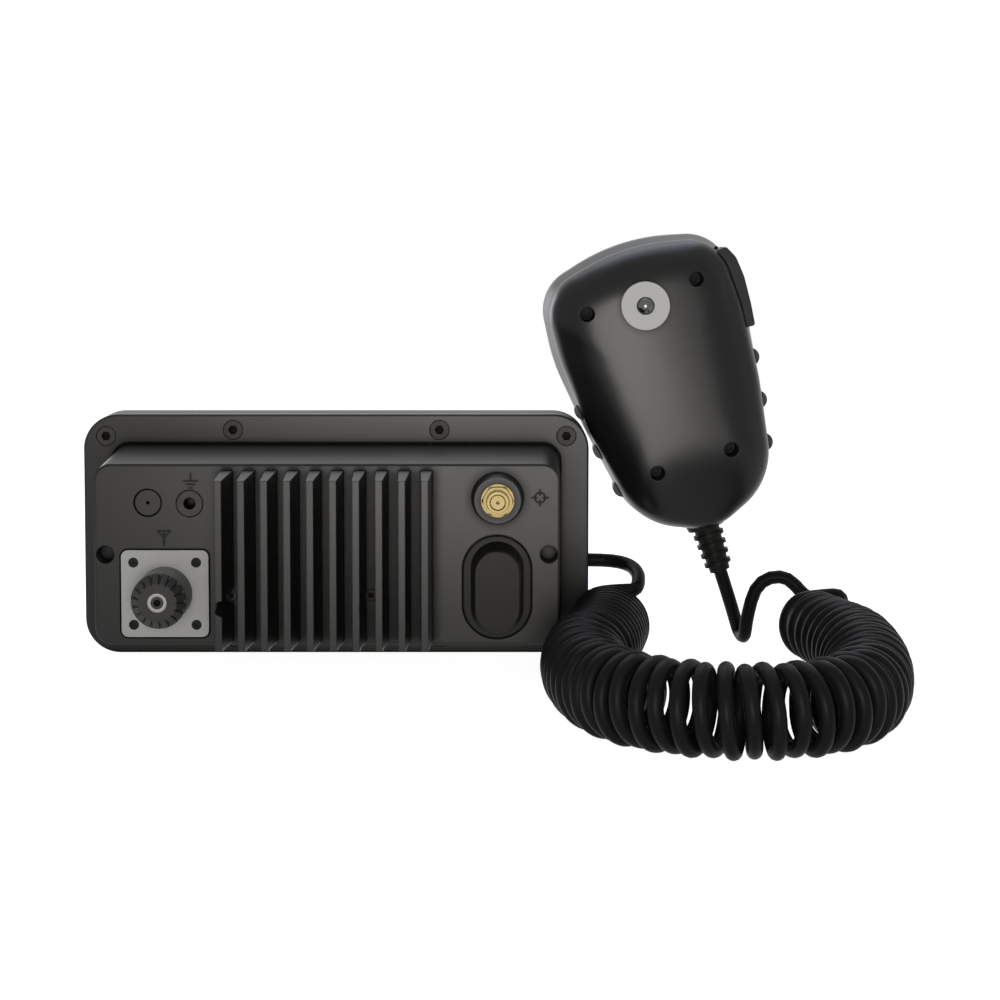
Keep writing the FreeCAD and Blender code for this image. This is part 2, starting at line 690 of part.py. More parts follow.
def vent_plug():
    seat = -CASE_DEPTH + VENT_DEPTH
    disc = rod(VENT_X, VENT_Z, VENT_R, -CASE_DEPTH + 0.3, seat)
    stem = rod(VENT_X, VENT_Z, VENT_STEM_R, seat, CASE_INNER_Y)
    return disc.fuse(stem).cut(rod(VENT_X, VENT_Z, VENT_BORE_R, -CASE_DEPTH - 1, CASE_INNER_Y + 1))


def ground_terminal():
    bush = rod(GROUND_X, GROUND_Z, GROUND_R, -CASE_DEPTH, CASE_INNER_Y)
    tail = rod(GROUND_X, GROUND_Z, GROUND_R + 1.2, CASE_INNER_Y, -CASE_DEPTH + GROUND_L)
    hole = rod(GROUND_X, GROUND_Z, GROUND_HOLE_R, -CASE_DEPTH - 1, -CASE_DEPTH + GROUND_HOLE_L)
    return bush.fuse(tail).cut(hole)


def flange_gasket():
    outer, outer_radius = flange_outline(GASKET_INSET)
    inner, inner_radius = flange_outline(GASKET_INSET + GASKET_W)
    ring = prism(outer, max(outer_radius, 3.0), FLANGE_T, FLANGE_T + GASKET_T)
    return ring.cut(prism(inner, 2.0, FLANGE_T - 1, FLANGE_T + GASKET_T + 1))


def key_opening(key, gap, y0, y1):
    x, z, width, height = key
    return prism(middle_rect(x, z, width + 2 * gap, height + 2 * gap), KEY_R + gap, y0, y1)


def front_housing():
    corners, radius = flange_outline(0)
    rear = FLANGE_T + SEAM

    def outline(inset, y):
        points, round_r = flange_outline(inset)
        return rounded_wire(points, [round_r] * 4, y)
    body = prism(corners, radius, rear, FRONT_DEPTH - FRONT_EDGE_R)
    edge = [outline(0, FRONT_DEPTH - FRONT_EDGE_R)]
    for i in range(1, 5):
        turn = math.radians(90.0 * i / 4)
        inset = FRONT_EDGE_R * (1 - math.cos(turn))
        edge.append(outline(inset, FRONT_DEPTH - FRONT_EDGE_R * (1 - math.sin(turn))))
    body = joined([body] + [loft(list(pair)) for pair in zip(edge, edge[1:])])
    pocket = prism(rect(-FRONT_POCKET_X, FRONT_POCKET_X, *FRONT_POCKET_Z), FRONT_POCKET_R,
                   rear - 1, FRONT_INNER_Y)
    outer, outer_radius = flange_outline(GASKET_INSET - SEAT_GAP)
    groove = prism(outer, max(outer_radius, 3.0), rear - 1, FLANGE_T + GASKET_T)
    cuts = [pocket, groove]
    cuts += [rod(x, z, SCREW_R + SHAFT_GAP, rear - 1, SCREW_LENGTH + 1) for x, z in SCREW_PLACES]
    window_floor = FRONT_DEPTH - WINDOW_T
    gap = SEAT_GAP
    cuts.append(prism(rect(WINDOW_X[0] - gap, WINDOW_X[1] + gap, WINDOW_Z[0] - gap, WINDOW_Z[1] + gap),
                      WINDOW_R + gap, window_floor, FRONT_DEPTH + 1))
    cuts.append(box(WINDOW_X[0] + WINDOW_LEDGE, WINDOW_X[1] - WINDOW_LEDGE, FRONT_INNER_Y - 1,
                    FRONT_DEPTH, WINDOW_Z[0] + WINDOW_LEDGE, FRONT_POCKET_Z[1] - 1))
    grille = GRILLE_W + 2 * gap
    cuts.append(prism(middle_rect(SPEAKER_X, SPEAKER_Z, grille, grille), GRILLE_R + gap,
                      FRONT_DEPTH - GRILLE_T, FRONT_DEPTH + 1))
    cuts.append(rod(SPEAKER_X, SPEAKER_Z, SPEAKER_R - 1.5, FRONT_INNER_Y - 1, FRONT_DEPTH))
    for key in FRONT_KEYS + (distress_key(),):
        cuts.append(key_opening(key, MOVING_GAP, FRONT_INNER_Y - 1, FRONT_DEPTH + 1))
    for x, z, _, _ in (CHANNEL_KNOB, VOLUME_KNOB, SQUELCH_KNOB):
        cuts.append(rod(x, z, CONTROL_SHAFT_R + MOVING_GAP, FRONT_INNER_Y - 1, FRONT_DEPTH + 1))
    cuts.append(Part.makeCylinder(GLAND_R + SEAT_GAP, GLAND_L + 5,
                                  V(FLANGE_W / 2 - GLAND_L, GLAND_Y, GLAND_Z), V(1, 0, 0)))
    housing = body.cut(cuts)
    posts = [rod(x, z, 2.2, FRONT_BOARD_FRONT, FRONT_INNER_Y) for x, z in board_posts()]
    return joined([housing] + posts + flap_ears())


def board_posts():
    return [(-61.0, 58.0), (-35.5, 58.0), (-31.0, 15.5), (26.5, 15.5)]


def distress_key():
    return (DISTRESS_X, DISTRESS_Z, DISTRESS_W, DISTRESS_H)


def flap_hinge():
    return FRONT_DEPTH + FLAP_HINGE_PROUD, FLAP_HINGE_Z


def flap_ears():
    y, z = flap_hinge()
    ears = []
    for side in (-1, 1):
        x = DISTRESS_X + side * (FLAP_W / 2 + SLIDE_GAP + FLAP_EAR_T / 2)
        left, right = x - FLAP_EAR_T / 2, x + FLAP_EAR_T / 2
        post = box(left, right, FRONT_DEPTH - 0.5, y, z - FLAP_BARREL_R, z + FLAP_BARREL_R)
        eye = Part.makeCylinder(FLAP_BARREL_R, FLAP_EAR_T, V(x - FLAP_EAR_T / 2, y, z), V(1, 0, 0))
        bore = Part.makeCylinder(FLAP_PIN_R, FLAP_EAR_T + 2, V(x - FLAP_EAR_T / 2 - 1, y, z), V(1, 0, 0))
        ears.append(post.fuse(eye).cut(bore))
    return ears


def distress_flap():
    """A sprung flap that has to be lifted before the button can be pressed."""
    y, z = flap_hinge()
    bottom = z - FLAP_H - FLAP_BARREL_R
    barrel = Part.makeCylinder(FLAP_BARREL_R, FLAP_W, V(DISTRESS_X - FLAP_W / 2, y, z), V(1, 0, 0))
    lid = box(DISTRESS_X - FLAP_W / 2, DISTRESS_X + FLAP_W / 2, y, y + FLAP_T, bottom, z)
    lip = box(DISTRESS_X - FLAP_W / 2, DISTRESS_X + FLAP_W / 2, y - 1.2, y + FLAP_T, bottom, bottom + 1.4)
    end = V(DISTRESS_X - FLAP_W / 2 - 1, y, z)
    bore = Part.makeCylinder(FLAP_PIN_R + SHAFT_GAP, FLAP_W + 2, end, V(1, 0, 0))
    return joined([barrel, lid, lip]).cut(bore)


def distress_flap_pin():
    y, z = flap_hinge()
    length = FLAP_W + 2 * (SLIDE_GAP + FLAP_EAR_T)
    return Part.makeCylinder(FLAP_PIN_R, length, V(DISTRESS_X - length / 2, y, z), V(1, 0, 0))


def display_window():
    return prism(rect(*WINDOW_X, *WINDOW_Z), WINDOW_R, FRONT_DEPTH - WINDOW_T, FRONT_DEPTH)


def lcd_panel():
    top = FRONT_POCKET_Z[1] - 0.5
    left, right = WINDOW_X[0] + 0.5, WINDOW_X[1] - 0.5
    return box(left, right, FRONT_INNER_Y - LCD_T, FRONT_INNER_Y, WINDOW_Z[0] - 0.5, top)


def lcd_frame():
    """The carrier that holds the display off the front board."""
    top = FRONT_POCKET_Z[1] - 0.5
    left, right, bottom = WINDOW_X[0], WINDOW_X[1], WINDOW_Z[0]
    panel_back = FRONT_INNER_Y - LCD_T
    outer = box(left + 1.5, right - 1.5, FRONT_BOARD_FRONT, panel_back, bottom + 1, top - 1)
    inner = box(left + 4, right - 4, FRONT_BOARD_FRONT - 1, FRONT_INNER_Y, bottom + 4, top - 4)
    return outer.cut(inner)


def speaker_grille():
    plate = prism(middle_rect(SPEAKER_X, SPEAKER_Z, GRILLE_W, GRILLE_W), GRILLE_R,
                  FRONT_DEPTH - GRILLE_T, FRONT_DEPTH)
    pitch = (GRILLE_W - 6) / GRILLE_SLOTS
    slots = []
    for i in range(GRILLE_SLOTS):
        z = SPEAKER_Z + (i - (GRILLE_SLOTS - 1) / 2) * pitch
        slots.append(prism(middle_rect(SPEAKER_X, z, GRILLE_SLOT_W, GRILLE_SLOT_H), GRILLE_SLOT_H / 2 - 0.01,
                           FRONT_DEPTH - GRILLE_T - 1, FRONT_DEPTH + 1))
    return plate.cut(slots)


def loudspeaker():
    front = FRONT_INNER_Y
    rear = front - SPEAKER_DEPTH
    rim = rod(SPEAKER_X, SPEAKER_Z, SPEAKER_R, front - 1.5, front)
    basket = cone(SPEAKER_X, SPEAKER_Z, SPEAKER_MAGNET_R, SPEAKER_R - 1, rear + SPEAKER_MAGNET_L, front - 1.5)
    magnet = rod(SPEAKER_X, SPEAKER_Z, SPEAKER_MAGNET_R, rear, rear + SPEAKER_MAGNET_L)
    hollow = cone(SPEAKER_X, SPEAKER_Z, 3.0, SPEAKER_R - 2.5, rear + SPEAKER_MAGNET_L + 1, front + 0.01)
    return joined([rim, basket, magnet]).cut(hollow)


def key_cap(key, proud):
    """A key with a lip that holds it behind the front plate."""
    x, z, width, height = key
    cap = key_opening(key, 0, FRONT_INNER_Y - SLIDE_GAP, FRONT_DEPTH + proud)
    lip = prism(middle_rect(x, z, width + 2 * KEY_LIP, height + 2 * KEY_LIP), KEY_R,
                FRONT_INNER_Y - SLIDE_GAP - KEY_LIP_T, FRONT_INNER_Y - SLIDE_GAP)
    foot_end = FRONT_BOARD_FRONT + SWITCH_H + SLIDE_GAP + KEY_TRAVEL
    foot = rod(x, z, SWITCH_PLUNGER_R, foot_end, FRONT_INNER_Y - SLIDE_GAP - KEY_LIP_T)
    return joined([cap, lip, foot])


def switch(x, z):
    size = SWITCH_SIZE
    half = size / 2
    top = FRONT_BOARD_FRONT + SWITCH_H - 0.6
    body = box(x - half, x + half, FRONT_BOARD_FRONT, top, z - half, z + half)
    top = rod(x, z, SWITCH_PLUNGER_R, FRONT_BOARD_FRONT + SWITCH_H - 0.6, FRONT_BOARD_FRONT + SWITCH_H)
    return body.fuse(top)


def key_switches():
    return group([switch(key[0], key[1]) for key in FRONT_KEYS])


def distress_switch_block():
    """The distress switch stands on a bracket of its own, below the loudspeaker."""
    body_top = FRONT_BOARD_FRONT + SWITCH_H - 0.6
    size = SWITCH_SIZE
    bottom = FRONT_BOARD_Z[0]
    left, right = DISTRESS_X - size / 2, DISTRESS_X + size / 2
    base = box(FRONT_BOARD_X[1], DISTRESS_X + size, FRONT_BOARD_Y, FRONT_BOARD_FRONT, bottom, DISTRESS_Z + 7)
    body = box(left, right, FRONT_BOARD_FRONT, body_top, bottom, DISTRESS_Z + size / 2)
    top = rod(DISTRESS_X, DISTRESS_Z, SWITCH_PLUNGER_R, body_top, FRONT_BOARD_FRONT + SWITCH_H)
    return joined([base, body, top])


def front_board():
    board = box(*FRONT_BOARD_X, FRONT_BOARD_Y, FRONT_BOARD_FRONT, *FRONT_BOARD_Z)
    notch = rod(SPEAKER_X, SPEAKER_Z, SPEAKER_R + 1, FRONT_BOARD_Y - 1, FRONT_BOARD_FRONT + 1)
    holes = [rod(x, z, SCREW_R, FRONT_BOARD_Y - 1, FRONT_BOARD_FRONT + 1) for x, z in board_posts()]
    return board.cut([notch] + holes)


def rotary_control(knob):
    """The fixed body of an encoder or potentiometer, bored for its shaft."""
    x, z, _, _ = knob
    size = CONTROL_BODY
    body = box(x - size / 2, x + size / 2, FRONT_BOARD_FRONT, FRONT_INNER_Y, z - size / 2, z + size / 2)
    return body.cut(rod(x, z, CONTROL_SHAFT_R + SHAFT_GAP, FRONT_BOARD_FRONT + 1, FRONT_INNER_Y + 1))


def rotary_controls():
    return group([rotary_control(knob) for knob in (CHANNEL_KNOB, VOLUME_KNOB, SQUELCH_KNOB)])


def control_shaft(knob):
    x, z, _, height = knob
    top = FRONT_DEPTH + KNOB_STANDOFF + height - 3
    return rod(x, z, CONTROL_SHAFT_R, FRONT_BOARD_FRONT + 1 + SHAFT_GAP, top)


def knob_body(knob):
    """A fluted knob with a pointer slot in its face."""
    x, z, radius, height = knob
    y0 = FRONT_DEPTH + KNOB_STANDOFF
    y1 = y0 + height
    skirt = cone(x, z, radius, radius - 0.6, y0, y0 + 2.5)
    grip = cone(x, z, radius - 0.8, radius - 1.4, y0 + 2.5, y1 - 0.8)
    cap = cone(x, z, radius - 1.4, radius - 2.2, y1 - 0.8, y1)
    body = joined([skirt, grip, cap])
    cuts = [rod(x, z, CONTROL_SHAFT_R + SHAFT_GAP, y0 - 1, y1 - 3 + SHAFT_GAP)]
    for i in range(KNOB_FLUTES):
        turn = math.radians(360.0 / KNOB_FLUTES * i)
        reach = radius - 0.5
        flute_x, flute_z = x + reach * math.cos(turn), z + reach * math.sin(turn)
        cuts.append(rod(flute_x, flute_z, KNOB_FLUTE_R, y0 + 2.5, y1 + 1))
    cuts.append(box(x - 0.5, x + 0.5, y1 - 0.6, y1 + 1, z + radius * 0.3, z + radius))
    return body.cut(cuts)


def knob(place):
    return group([knob_body(place), control_shaft(place)])


def main_board():
    board = box(-MAIN_BOARD_X, MAIN_BOARD_X, MAIN_BOARD_REAR, MAIN_BOARD_FRONT, *MAIN_BOARD_Z)
    return board.cut([rod(x, z, SCREW_R + SEAT_GAP, MAIN_BOARD_REAR - 1, MAIN_BOARD_FRONT + 1)
                      for x in (-POST_X, POST_X) for z in POST_Z])


def board_screws():
    screws = []
    for x in (-POST_X, POST_X):
        for z in POST_Z:
            head = rod(x, z, SCREW_HEAD_R - 0.5, MAIN_BOARD_FRONT, MAIN_BOARD_FRONT + 1.8)
            shank = rod(x, z, SCREW_R - SHAFT_GAP, MAIN_BOARD_REAR - 5, MAIN_BOARD_FRONT)
            screws.append(head.fuse(shank))
    for x, z in board_posts():
        screws.append(rod(x, z, SCREW_HEAD_R - 0.7, FRONT_BOARD_Y - 1.5, FRONT_BOARD_Y).fuse(
            rod(x, z, SCREW_R - SHAFT_GAP, FRONT_BOARD_Y, FRONT_BOARD_FRONT)))
    return group(screws)


def shield_cans():
    return group([box(x0, x1, MAIN_BOARD_FRONT, MAIN_BOARD_FRONT + CAN_T, *CAN_Z) for x0, x1 in CANS])


def link_ribbon():
    """The flat cable between the boards, with a header at each end."""
    half = RIBBON_W / 2
    low, high = RIBBON_Z - HEADER_H / 2, RIBBON_Z + HEADER_H / 2
    rear_end, front_end = MAIN_BOARD_FRONT + HEADER_L, FRONT_BOARD_Y - HEADER_L
    rear = box(-half, half, MAIN_BOARD_FRONT, rear_end, low, high)
    front = box(-half, half, front_end, FRONT_BOARD_Y, low, high)
    ribbon = box(1 - half, half - 1, rear_end, front_end, RIBBON_Z, RIBBON_Z + RIBBON_T)
    return joined([rear, front, ribbon])


def cord_gland():
    return Part.makeCylinder(GLAND_R, GLAND_L, V(FLANGE_W / 2 - GLAND_L, GLAND_Y, GLAND_Z), V(1, 0, 0))


def mic_corners(flare):
    """The microphone's corners, from the rear shell's outline to the front shell's wider one."""
    half = [(rx + (fx - rx) * flare, rz + (fz - rz) * flare)
            for (rx, rz), (fx, fz) in zip(MIC_REAR_CORNERS, MIC_FRONT_CORNERS)]
    return half + [(-x, z) for x, z in half[-2:0:-1]]


def mic_radii():
    half = list(MIC_RADII)
    return half + half[-2:0:-1]


def drawn_in(corners, inset):
    """A convex outline's corners after every side moves in by the same distance."""
    moved = []
    count = len(corners)
    for i in range(count):
        here = V(corners[i][0], 0, corners[i][1])
        last = V(corners[i - 1][0], 0, corners[i - 1][1])
        after = V(corners[(i + 1) % count][0], 0, corners[(i + 1) % count][1])
        to_last = (last - here).normalize()
        to_next = (after - here).normalize()
        half = to_last.getAngle(to_next) / 2
        inward = (to_last + to_next).normalize() * (inset / math.sin(half))
        moved.append((here.x + inward.x, here.z + inward.z))
    return moved


def mic_wire(inset, y, flare=0.0):
    """The microphone's outline at one depth, drawn in by an inset."""
    radii = [max(radius - inset, radius * 0.2) for radius in mic_radii()]
    return rounded_wire(drawn_in(mic_corners(flare), inset), radii, y)


def mic_form(steps, flares, side):
    """A rounded half of the microphone, through outlines that draw in towards its face."""
    return loft([mic_wire(draw, side * max(depth, MIC_SEAM / 2), flare)
                 for (depth, draw), flare in zip(steps, flares)])


def mic_rear_outer():
    return mic_form(MIC_REAR, [0.0] * len(MIC_REAR), -1)


def mic_front_outer():
    return mic_form(MIC_FRONT, MIC_FLARE, 1)


def mic_inner(steps, flares, side):
    """The room inside one half, a wall's thickness in from its outside."""
    wires = [mic_wire(MIC_WALL, -side)]
    for (depth, draw), flare in zip(steps[1:], flares[1:]):
        wires.append(mic_wire(draw + MIC_WALL, side * (depth - MIC_WALL), flare))
    return loft(wires)


def ptt_window():
    left, right = PTT_OUTLINE[0][0] - 2.5, PTT_OUTLINE[3][0] + 3
    top = max(z for x, z in PTT_OUTLINE) + MOVING_GAP + PTT_SWING_ROOM
    bottom = min(z for x, z in PTT_OUTLINE) - MOVING_GAP
    corners = [(left, top), (right, top), (right, bottom), (left, bottom)]
    return prism(corners, 0, PTT_Y[0] - MOVING_GAP, PTT_Y[1] + MOVING_GAP)


def mic_rear_shell():
    shell = mic_rear_outer().cut(mic_inner(MIC_REAR, [0.0] * len(MIC_REAR), -1))
    columns = [rod(x, z, MIC_COLUMN_R, -MIC_REAR_TOP, -MIC_SEAM / 2) for x, z in MIC_SCREW_PLACES]
    columns = [column.common(mic_rear_outer()) for column in columns]
    shell = joined([shell] + columns)
    cuts = [ptt_window()]
    for x, z in MIC_SCREW_PLACES:
        cuts.append(rod(x, z, MIC_SCREW_WELL_R, -MIC_REAR_TOP - 1, -MIC_WELL_FLOOR))
        cuts.append(rod(x, z, MIC_SCREW_R + SEAT_GAP, -MIC_REAR_TOP, 1))
    cuts.append(rod(0, HANGUP_Z, HANGUP_STUD_R - 1 + SEAT_GAP, -MIC_REAR_TOP - 1, -MIC_REAR_TOP + 6))
    cuts.append(relief_hole())
    return shell.cut(cuts)


def relief_hole():
    return Part.makeCylinder(RELIEF_ROOT_R + SEAT_GAP, 12, V(RELIEF_X, RELIEF_Y, RELIEF_TOP - 6), V(0, 0, 1))


def mic_front_shell():
    shell = mic_front_outer().cut(mic_inner(MIC_FRONT, MIC_FLARE, 1))
    face = MIC_FRONT[-1][0]
    posts = [rod(x, z, MIC_COLUMN_R, MIC_SEAM / 2, face - 1) for x, z in MIC_SCREW_PLACES]
    posts = [post.common(mic_front_outer()) for post in posts]
    shell = joined([shell] + posts)
    cuts = [ptt_window(), relief_hole()]
    cuts += [rod(x, z, MIC_SCREW_R, -1, MIC_THREAD_END) for x, z in MIC_SCREW_PLACES]
    for i in range(MIC_SLOTS):
        offset = (i - (MIC_SLOTS - 1) / 2) * MIC_SLOT_PITCH
        width = 2 * math.sqrt(MIC_SPEAKER_R ** 2 - offset ** 2) * 0.9
        corners = middle_rect(0, MIC_SPEAKER_Z + offset, width, MIC_SLOT_H)
        cuts.append(prism(corners, MIC_SLOT_H / 2 - 0.01, face - 6, face + 1))
    for x in MIC_KEYS:
        cuts.append(mic_key_prism(x, MOVING_GAP, face - 6, face + 1))
    cuts.append(rod(0, MIC_CAPSULE_Z, 0.8, face - 6, face + 1))
    return shell.cut(cuts)


def mic_key_prism(x, gap, y0, y1):
    corners = middle_rect(x, MIC_KEY_Z, MIC_KEY_W + 2 * gap, MIC_KEY_H + 2 * gap)
    return prism(corners, 2.0, y0, y1)


def mic_key(x):
    face = MIC_FRONT[-1][0]
    inner = face - MIC_WALL
    cap = mic_key_prism(x, 0, inner - SLIDE_GAP, face + 0.9)
    corners = middle_rect(x, MIC_KEY_Z, MIC_KEY_W + 1.4, MIC_KEY_H + 1.4)
    lip = prism(corners, 1.0, inner - SLIDE_GAP - 1.0, inner - SLIDE_GAP)
    top = MIC_BOARD_Y + BOARD_T + 2.5 + SLIDE_GAP + KEY_TRAVEL
    foot = rod(x, MIC_KEY_Z, SWITCH_PLUNGER_R, top, inner - SLIDE_GAP - 1.0)
    return joined([cap, lip, foot])


def mic_switches():
    """The small switches under the keys and the one behind the talk bar."""
    base = MIC_BOARD_Y + BOARD_T
    shapes = [box(x - 2.5, x + 2.5, base, base + 2.5, MIC_KEY_Z - 2.5, MIC_KEY_Z + 2.5) for x in MIC_KEYS]
    reach = PTT_OUTLINE[0][0] - 1.0
    shapes.append(box(MIC_BOARD_X - 6, reach, base, base + 4, PTT_SWITCH_Z - 12, PTT_SWITCH_Z - 6))
    return group(shapes)


def mic_board():
    board = box(-MIC_BOARD_X, MIC_BOARD_X, MIC_BOARD_Y, MIC_BOARD_Y + BOARD_T, *MIC_BOARD_Z)
    low, high = MIC_BOARD_Y - 1, MIC_BOARD_Y + BOARD_T + 1
    notches = [rod(x, z, MIC_COLUMN_R + SLIDE_GAP, low, high) for x, z in MIC_SCREW_PLACES]
    return board.cut(notches)


def mic_speaker():
    face = MIC_FRONT[-1][0] - MIC_WALL
    base = MIC_BOARD_Y + BOARD_T
    return rod(0, MIC_SPEAKER_Z, MIC_SPEAKER_R, face - MIC_SPEAKER_T, face).fuse(
        rod(0, MIC_SPEAKER_Z, MIC_SPEAKER_R * 0.5, base, face - MIC_SPEAKER_T))


def mic_capsule():
    face = MIC_FRONT[-1][0] - MIC_WALL
    return rod(0, MIC_CAPSULE_Z, MIC_CAPSULE_R, MIC_BOARD_Y + BOARD_T, face)


def mic_screws():
    y = -MIC_WELL_FLOOR - MIC_SCREW_HEAD_T
    return group([screw(x, z, y, MIC_SCREW_HEAD_R, MIC_SCREW_HEAD_T, MIC_SCREW_R - SHAFT_GAP, 9.0, 2.2, 1.4)
                  for x, z in MIC_SCREW_PLACES])


def hangup_button():
    """The disc that drops into a hang-up clip, on a neck that stands off the shell."""
    shell = -MIC_REAR_TOP
    disc = rod(0, HANGUP_Z, HANGUP_R, shell - HANGUP_NECK_L - HANGUP_T, shell - HANGUP_NECK_L)
    neck = rod(0, HANGUP_Z, HANGUP_NECK_R, shell - HANGUP_NECK_L, shell)
    body = disc.fuse(neck)
    body = body.cut(mic_rear_outer())
    return body.cut(rod(0, HANGUP_Z, HANGUP_STUD_R - 1 + SEAT_GAP, shell - 10, shell + 1))


def hangup_screw():
    shell = -MIC_REAR_TOP
    face = shell - HANGUP_NECK_L - HANGUP_T
    dome_r = (HANGUP_STUD_R ** 2 + HANGUP_STUD_H ** 2) / (2 * HANGUP_STUD_H)
    ball = Part.makeSphere(dome_r, V(0, face - HANGUP_STUD_H + dome_r, HANGUP_Z))
    dome = ball.common(rod(0, HANGUP_Z, HANGUP_STUD_R + 1, face - HANGUP_STUD_H - 1, face))
    return dome.fuse(rod(0, HANGUP_Z, HANGUP_STUD_R - 1, face, shell + 5))


def ptt_bar():
    outline = [(x, z) for x, z in PTT_OUTLINE]
    radii = [0, 1.0, 6.0, 12.0, 40.0, 0.8, 0]
    bar = prism(outline, radii, *PTT_Y)
    bore = rod(PTT_PIN_X, PTT_PIN_Z, PTT_PIN_R + SHAFT_GAP, PTT_Y[0] - 1, PTT_Y[1] + 1)
    return bar.cut(bore)


def ptt_pin():
    return rod(PTT_PIN_X, PTT_PIN_Z, PTT_PIN_R, PTT_Y[0] - MOVING_GAP, PTT_Y[1] + MOVING_GAP)


def grip_ribs():
    """Soft ribs along both sides, bonded to the shells."""
    outer = mic_rear_outer().fuse(mic_front_outer())
    ribs = []
    for z in RIB_Z:
        for side in (-1, 1):
            edge = side_x(z)
            rib = rod(side * (edge + RIB_PROUD - RIB_R), z, RIB_R, *RIB_Y)
            piece = rib.cut(outer)
            solids = sorted(piece.Solids, key=lambda s: s.Volume)
            ribs += solids[-1:]
    return group(ribs)


def side_x(z):
    """Half the microphone's width at a height below its widest place."""
    corners = MIC_REAR_CORNERS[2:5]
    for (x0, z0), (x1, z1) in zip(corners, corners[1:]):
        if z >= z1:
            return x0 + (x1 - x0) * (z - z0) / (z1 - z0)
    return corners[-1][0]


def mic_strain_relief():
    def up(radius, z0, z1, radius1=None):
        if radius1 is None:
            return Part.makeCylinder(radius, z1 - z0, V(RELIEF_X, RELIEF_Y, z0), V(0, 0, 1))
        return Part.makeCone(radius, radius1, z1 - z0, V(RELIEF_X, RELIEF_Y, z0), V(0, 0, 1))
    collar = up(RELIEF_COLLAR_R - 0.8, RELIEF_COLLAR_END, RELIEF_TOP, RELIEF_COLLAR_R)
    outer = mic_rear_outer().fuse(mic_front_outer())
    collar = collar.cut(outer)
    collar = sorted(collar.Solids, key=lambda s: s.Volume)[-1]
    stem = up(RELIEF_ROOT_R, RELIEF_COLLAR_END, RELIEF_TOP)
    taper = up(RELIEF_TIP_R, RELIEF_END, RELIEF_COLLAR_END, RELIEF_ROOT_R)
    pieces = [collar, stem, taper]
    length = RELIEF_COLLAR_END - RELIEF_END
    for i in range(RELIEF_RIBS):
        share = (i + 0.8) / (RELIEF_RIBS + 0.65)
        z = RELIEF_COLLAR_END - share * length
        radius = RELIEF_ROOT_R + (RELIEF_TIP_R - RELIEF_ROOT_R) * share
        pieces.append(up(radius + RELIEF_RIB_R, z - 0.6, z + 0.6))
    return joined(pieces)


def arc_through(start, tangent, end):
    """The arc that leaves start along a tangent and ends at end."""
    chord = end - start
    across = chord - tangent * chord.dot(tangent)
    if across.Length < 1e-7:
        return Part.makeLine(start, end)
    side = V(across).normalize()
    radius = chord.dot(chord) / (2 * chord.dot(side))
    centre = start + side * radius
    middle_dir = (start + chord * 0.5 - centre)
    middle = centre + middle_dir.normalize() * radius
    return Part.Arc(start, middle, end).toShape()


def biarc(p0, t0, p1, t1):
    """Two arcs that join two points and keep both tangents."""
    chord = p1 - p0
    total = t0 + t1
    a = 2 * (1 - t0.dot(t1))
    b = 2 * chord.dot(total)
    c = -chord.dot(chord)
    reach = (-b + math.sqrt(b * b - 4 * a * c)) / (2 * a) if a > 1e-9 else -c / b
    joint = (p0 + t0 * reach + p1 - t1 * reach) * 0.5
    first = arc_through(p0, t0, joint)
    second = arc_through(p1, t1 * -1, joint)
    return [first, second]


def coil_line():
    """Points along the curls' middle line on the floor, with their distance and bend."""
    curve = Part.BSplineCurve()
    curve.buildFromPoles([V(x, y, 0) for x, y in COIL_ROUTE], False, 2)
    count = 800
    first, last = curve.FirstParameter, curve.LastParameter
    points = [curve.value(first + (last - first) * i / count) for i in range(count + 1)]
    distance = [0.0]
    for a, b in zip(points, points[1:]):
        distance.append(distance[-1] + (b - a).Length)
    return points, distance


class Line:
    """Looks up places, directions and bends by distance along the middle line."""

    def __init__(self):
        self.points, self.distance = coil_line()
        self.length = self.distance[-1]

    def point(self, s):
        s = min(max(s, 0.0), self.length)
        low, high = 0, len(self.distance) - 1
        while high - low > 1:
            middle = (low + high) // 2
            if self.distance[middle] <= s:
                low = middle
            else:
                high = middle
        span = self.distance[high] - self.distance[low]
        share = (s - self.distance[low]) / span
        return self.points[low] * (1 - share) + self.points[high] * share

    def direction(self, s, half=1.5):
        low = max(s - half, 0.0)
        high = min(s + half, self.length)
        return (self.point(high) - self.point(low)).normalize()

    def bend(self, s, half=2.5):
        """One over the bend's radius, above zero where the line turns left."""
        low = max(s - half, 0.0)
        high = min(s + half, self.length)
        a, b = self.direction(low), self.direction(high)
        return math.atan2(a.x * b.y - a.y * b.x, a.dot(b)) / (high - low)


def coil_radius(line, s):
    """The curls narrow towards the microphone's end."""
    left = line.length - s
    share = min(left / COIL_TAPER, 1.0)
    ease = share * share * (3 - 2 * share)
    return (COIL_END_OD + (COIL_OD - COIL_END_OD) * ease) / 2 - CORD_D / 2


def coil_pitch(line, s):
    """Curls lie close, and open only where the line turns to the right."""
    inner_share = min(1 + coil_radius(line, s) * line.bend(s), 1.0)
    return max(COIL_PITCH, (CORD_D + COIL_CLEAR) / inner_share)


def coil_tuck(line, s):
    """How far every second curl tucks in on the inside of a left bend, to clear its neighbours."""
    inner_pitch = coil_pitch(line, s) * (1 - coil_radius(line, s) * line.bend(s))
    return COIL_TUCK * math.sqrt(max((CORD_D + COIL_CLEAR) ** 2 - inner_pitch ** 2, 0.0))


def coil_point(line, s, turn):
    radius = coil_radius(line, s)
    along = line.direction(s)
    across = V(0, 0, 1).cross(along)
    centre = line.point(s) + V(0, 0, radius + CORD_D / 2 + FLOOR_GAP)
    reach = radius * math.cos(turn)
    if round(turn / (2 * math.pi)) % 2:
        reach -= coil_tuck(line, s) * ((1 + math.cos(turn)) / 2) ** COIL_TUCK_SHAPE
    return centre + across * reach + V(0, 0, radius * math.sin(turn))


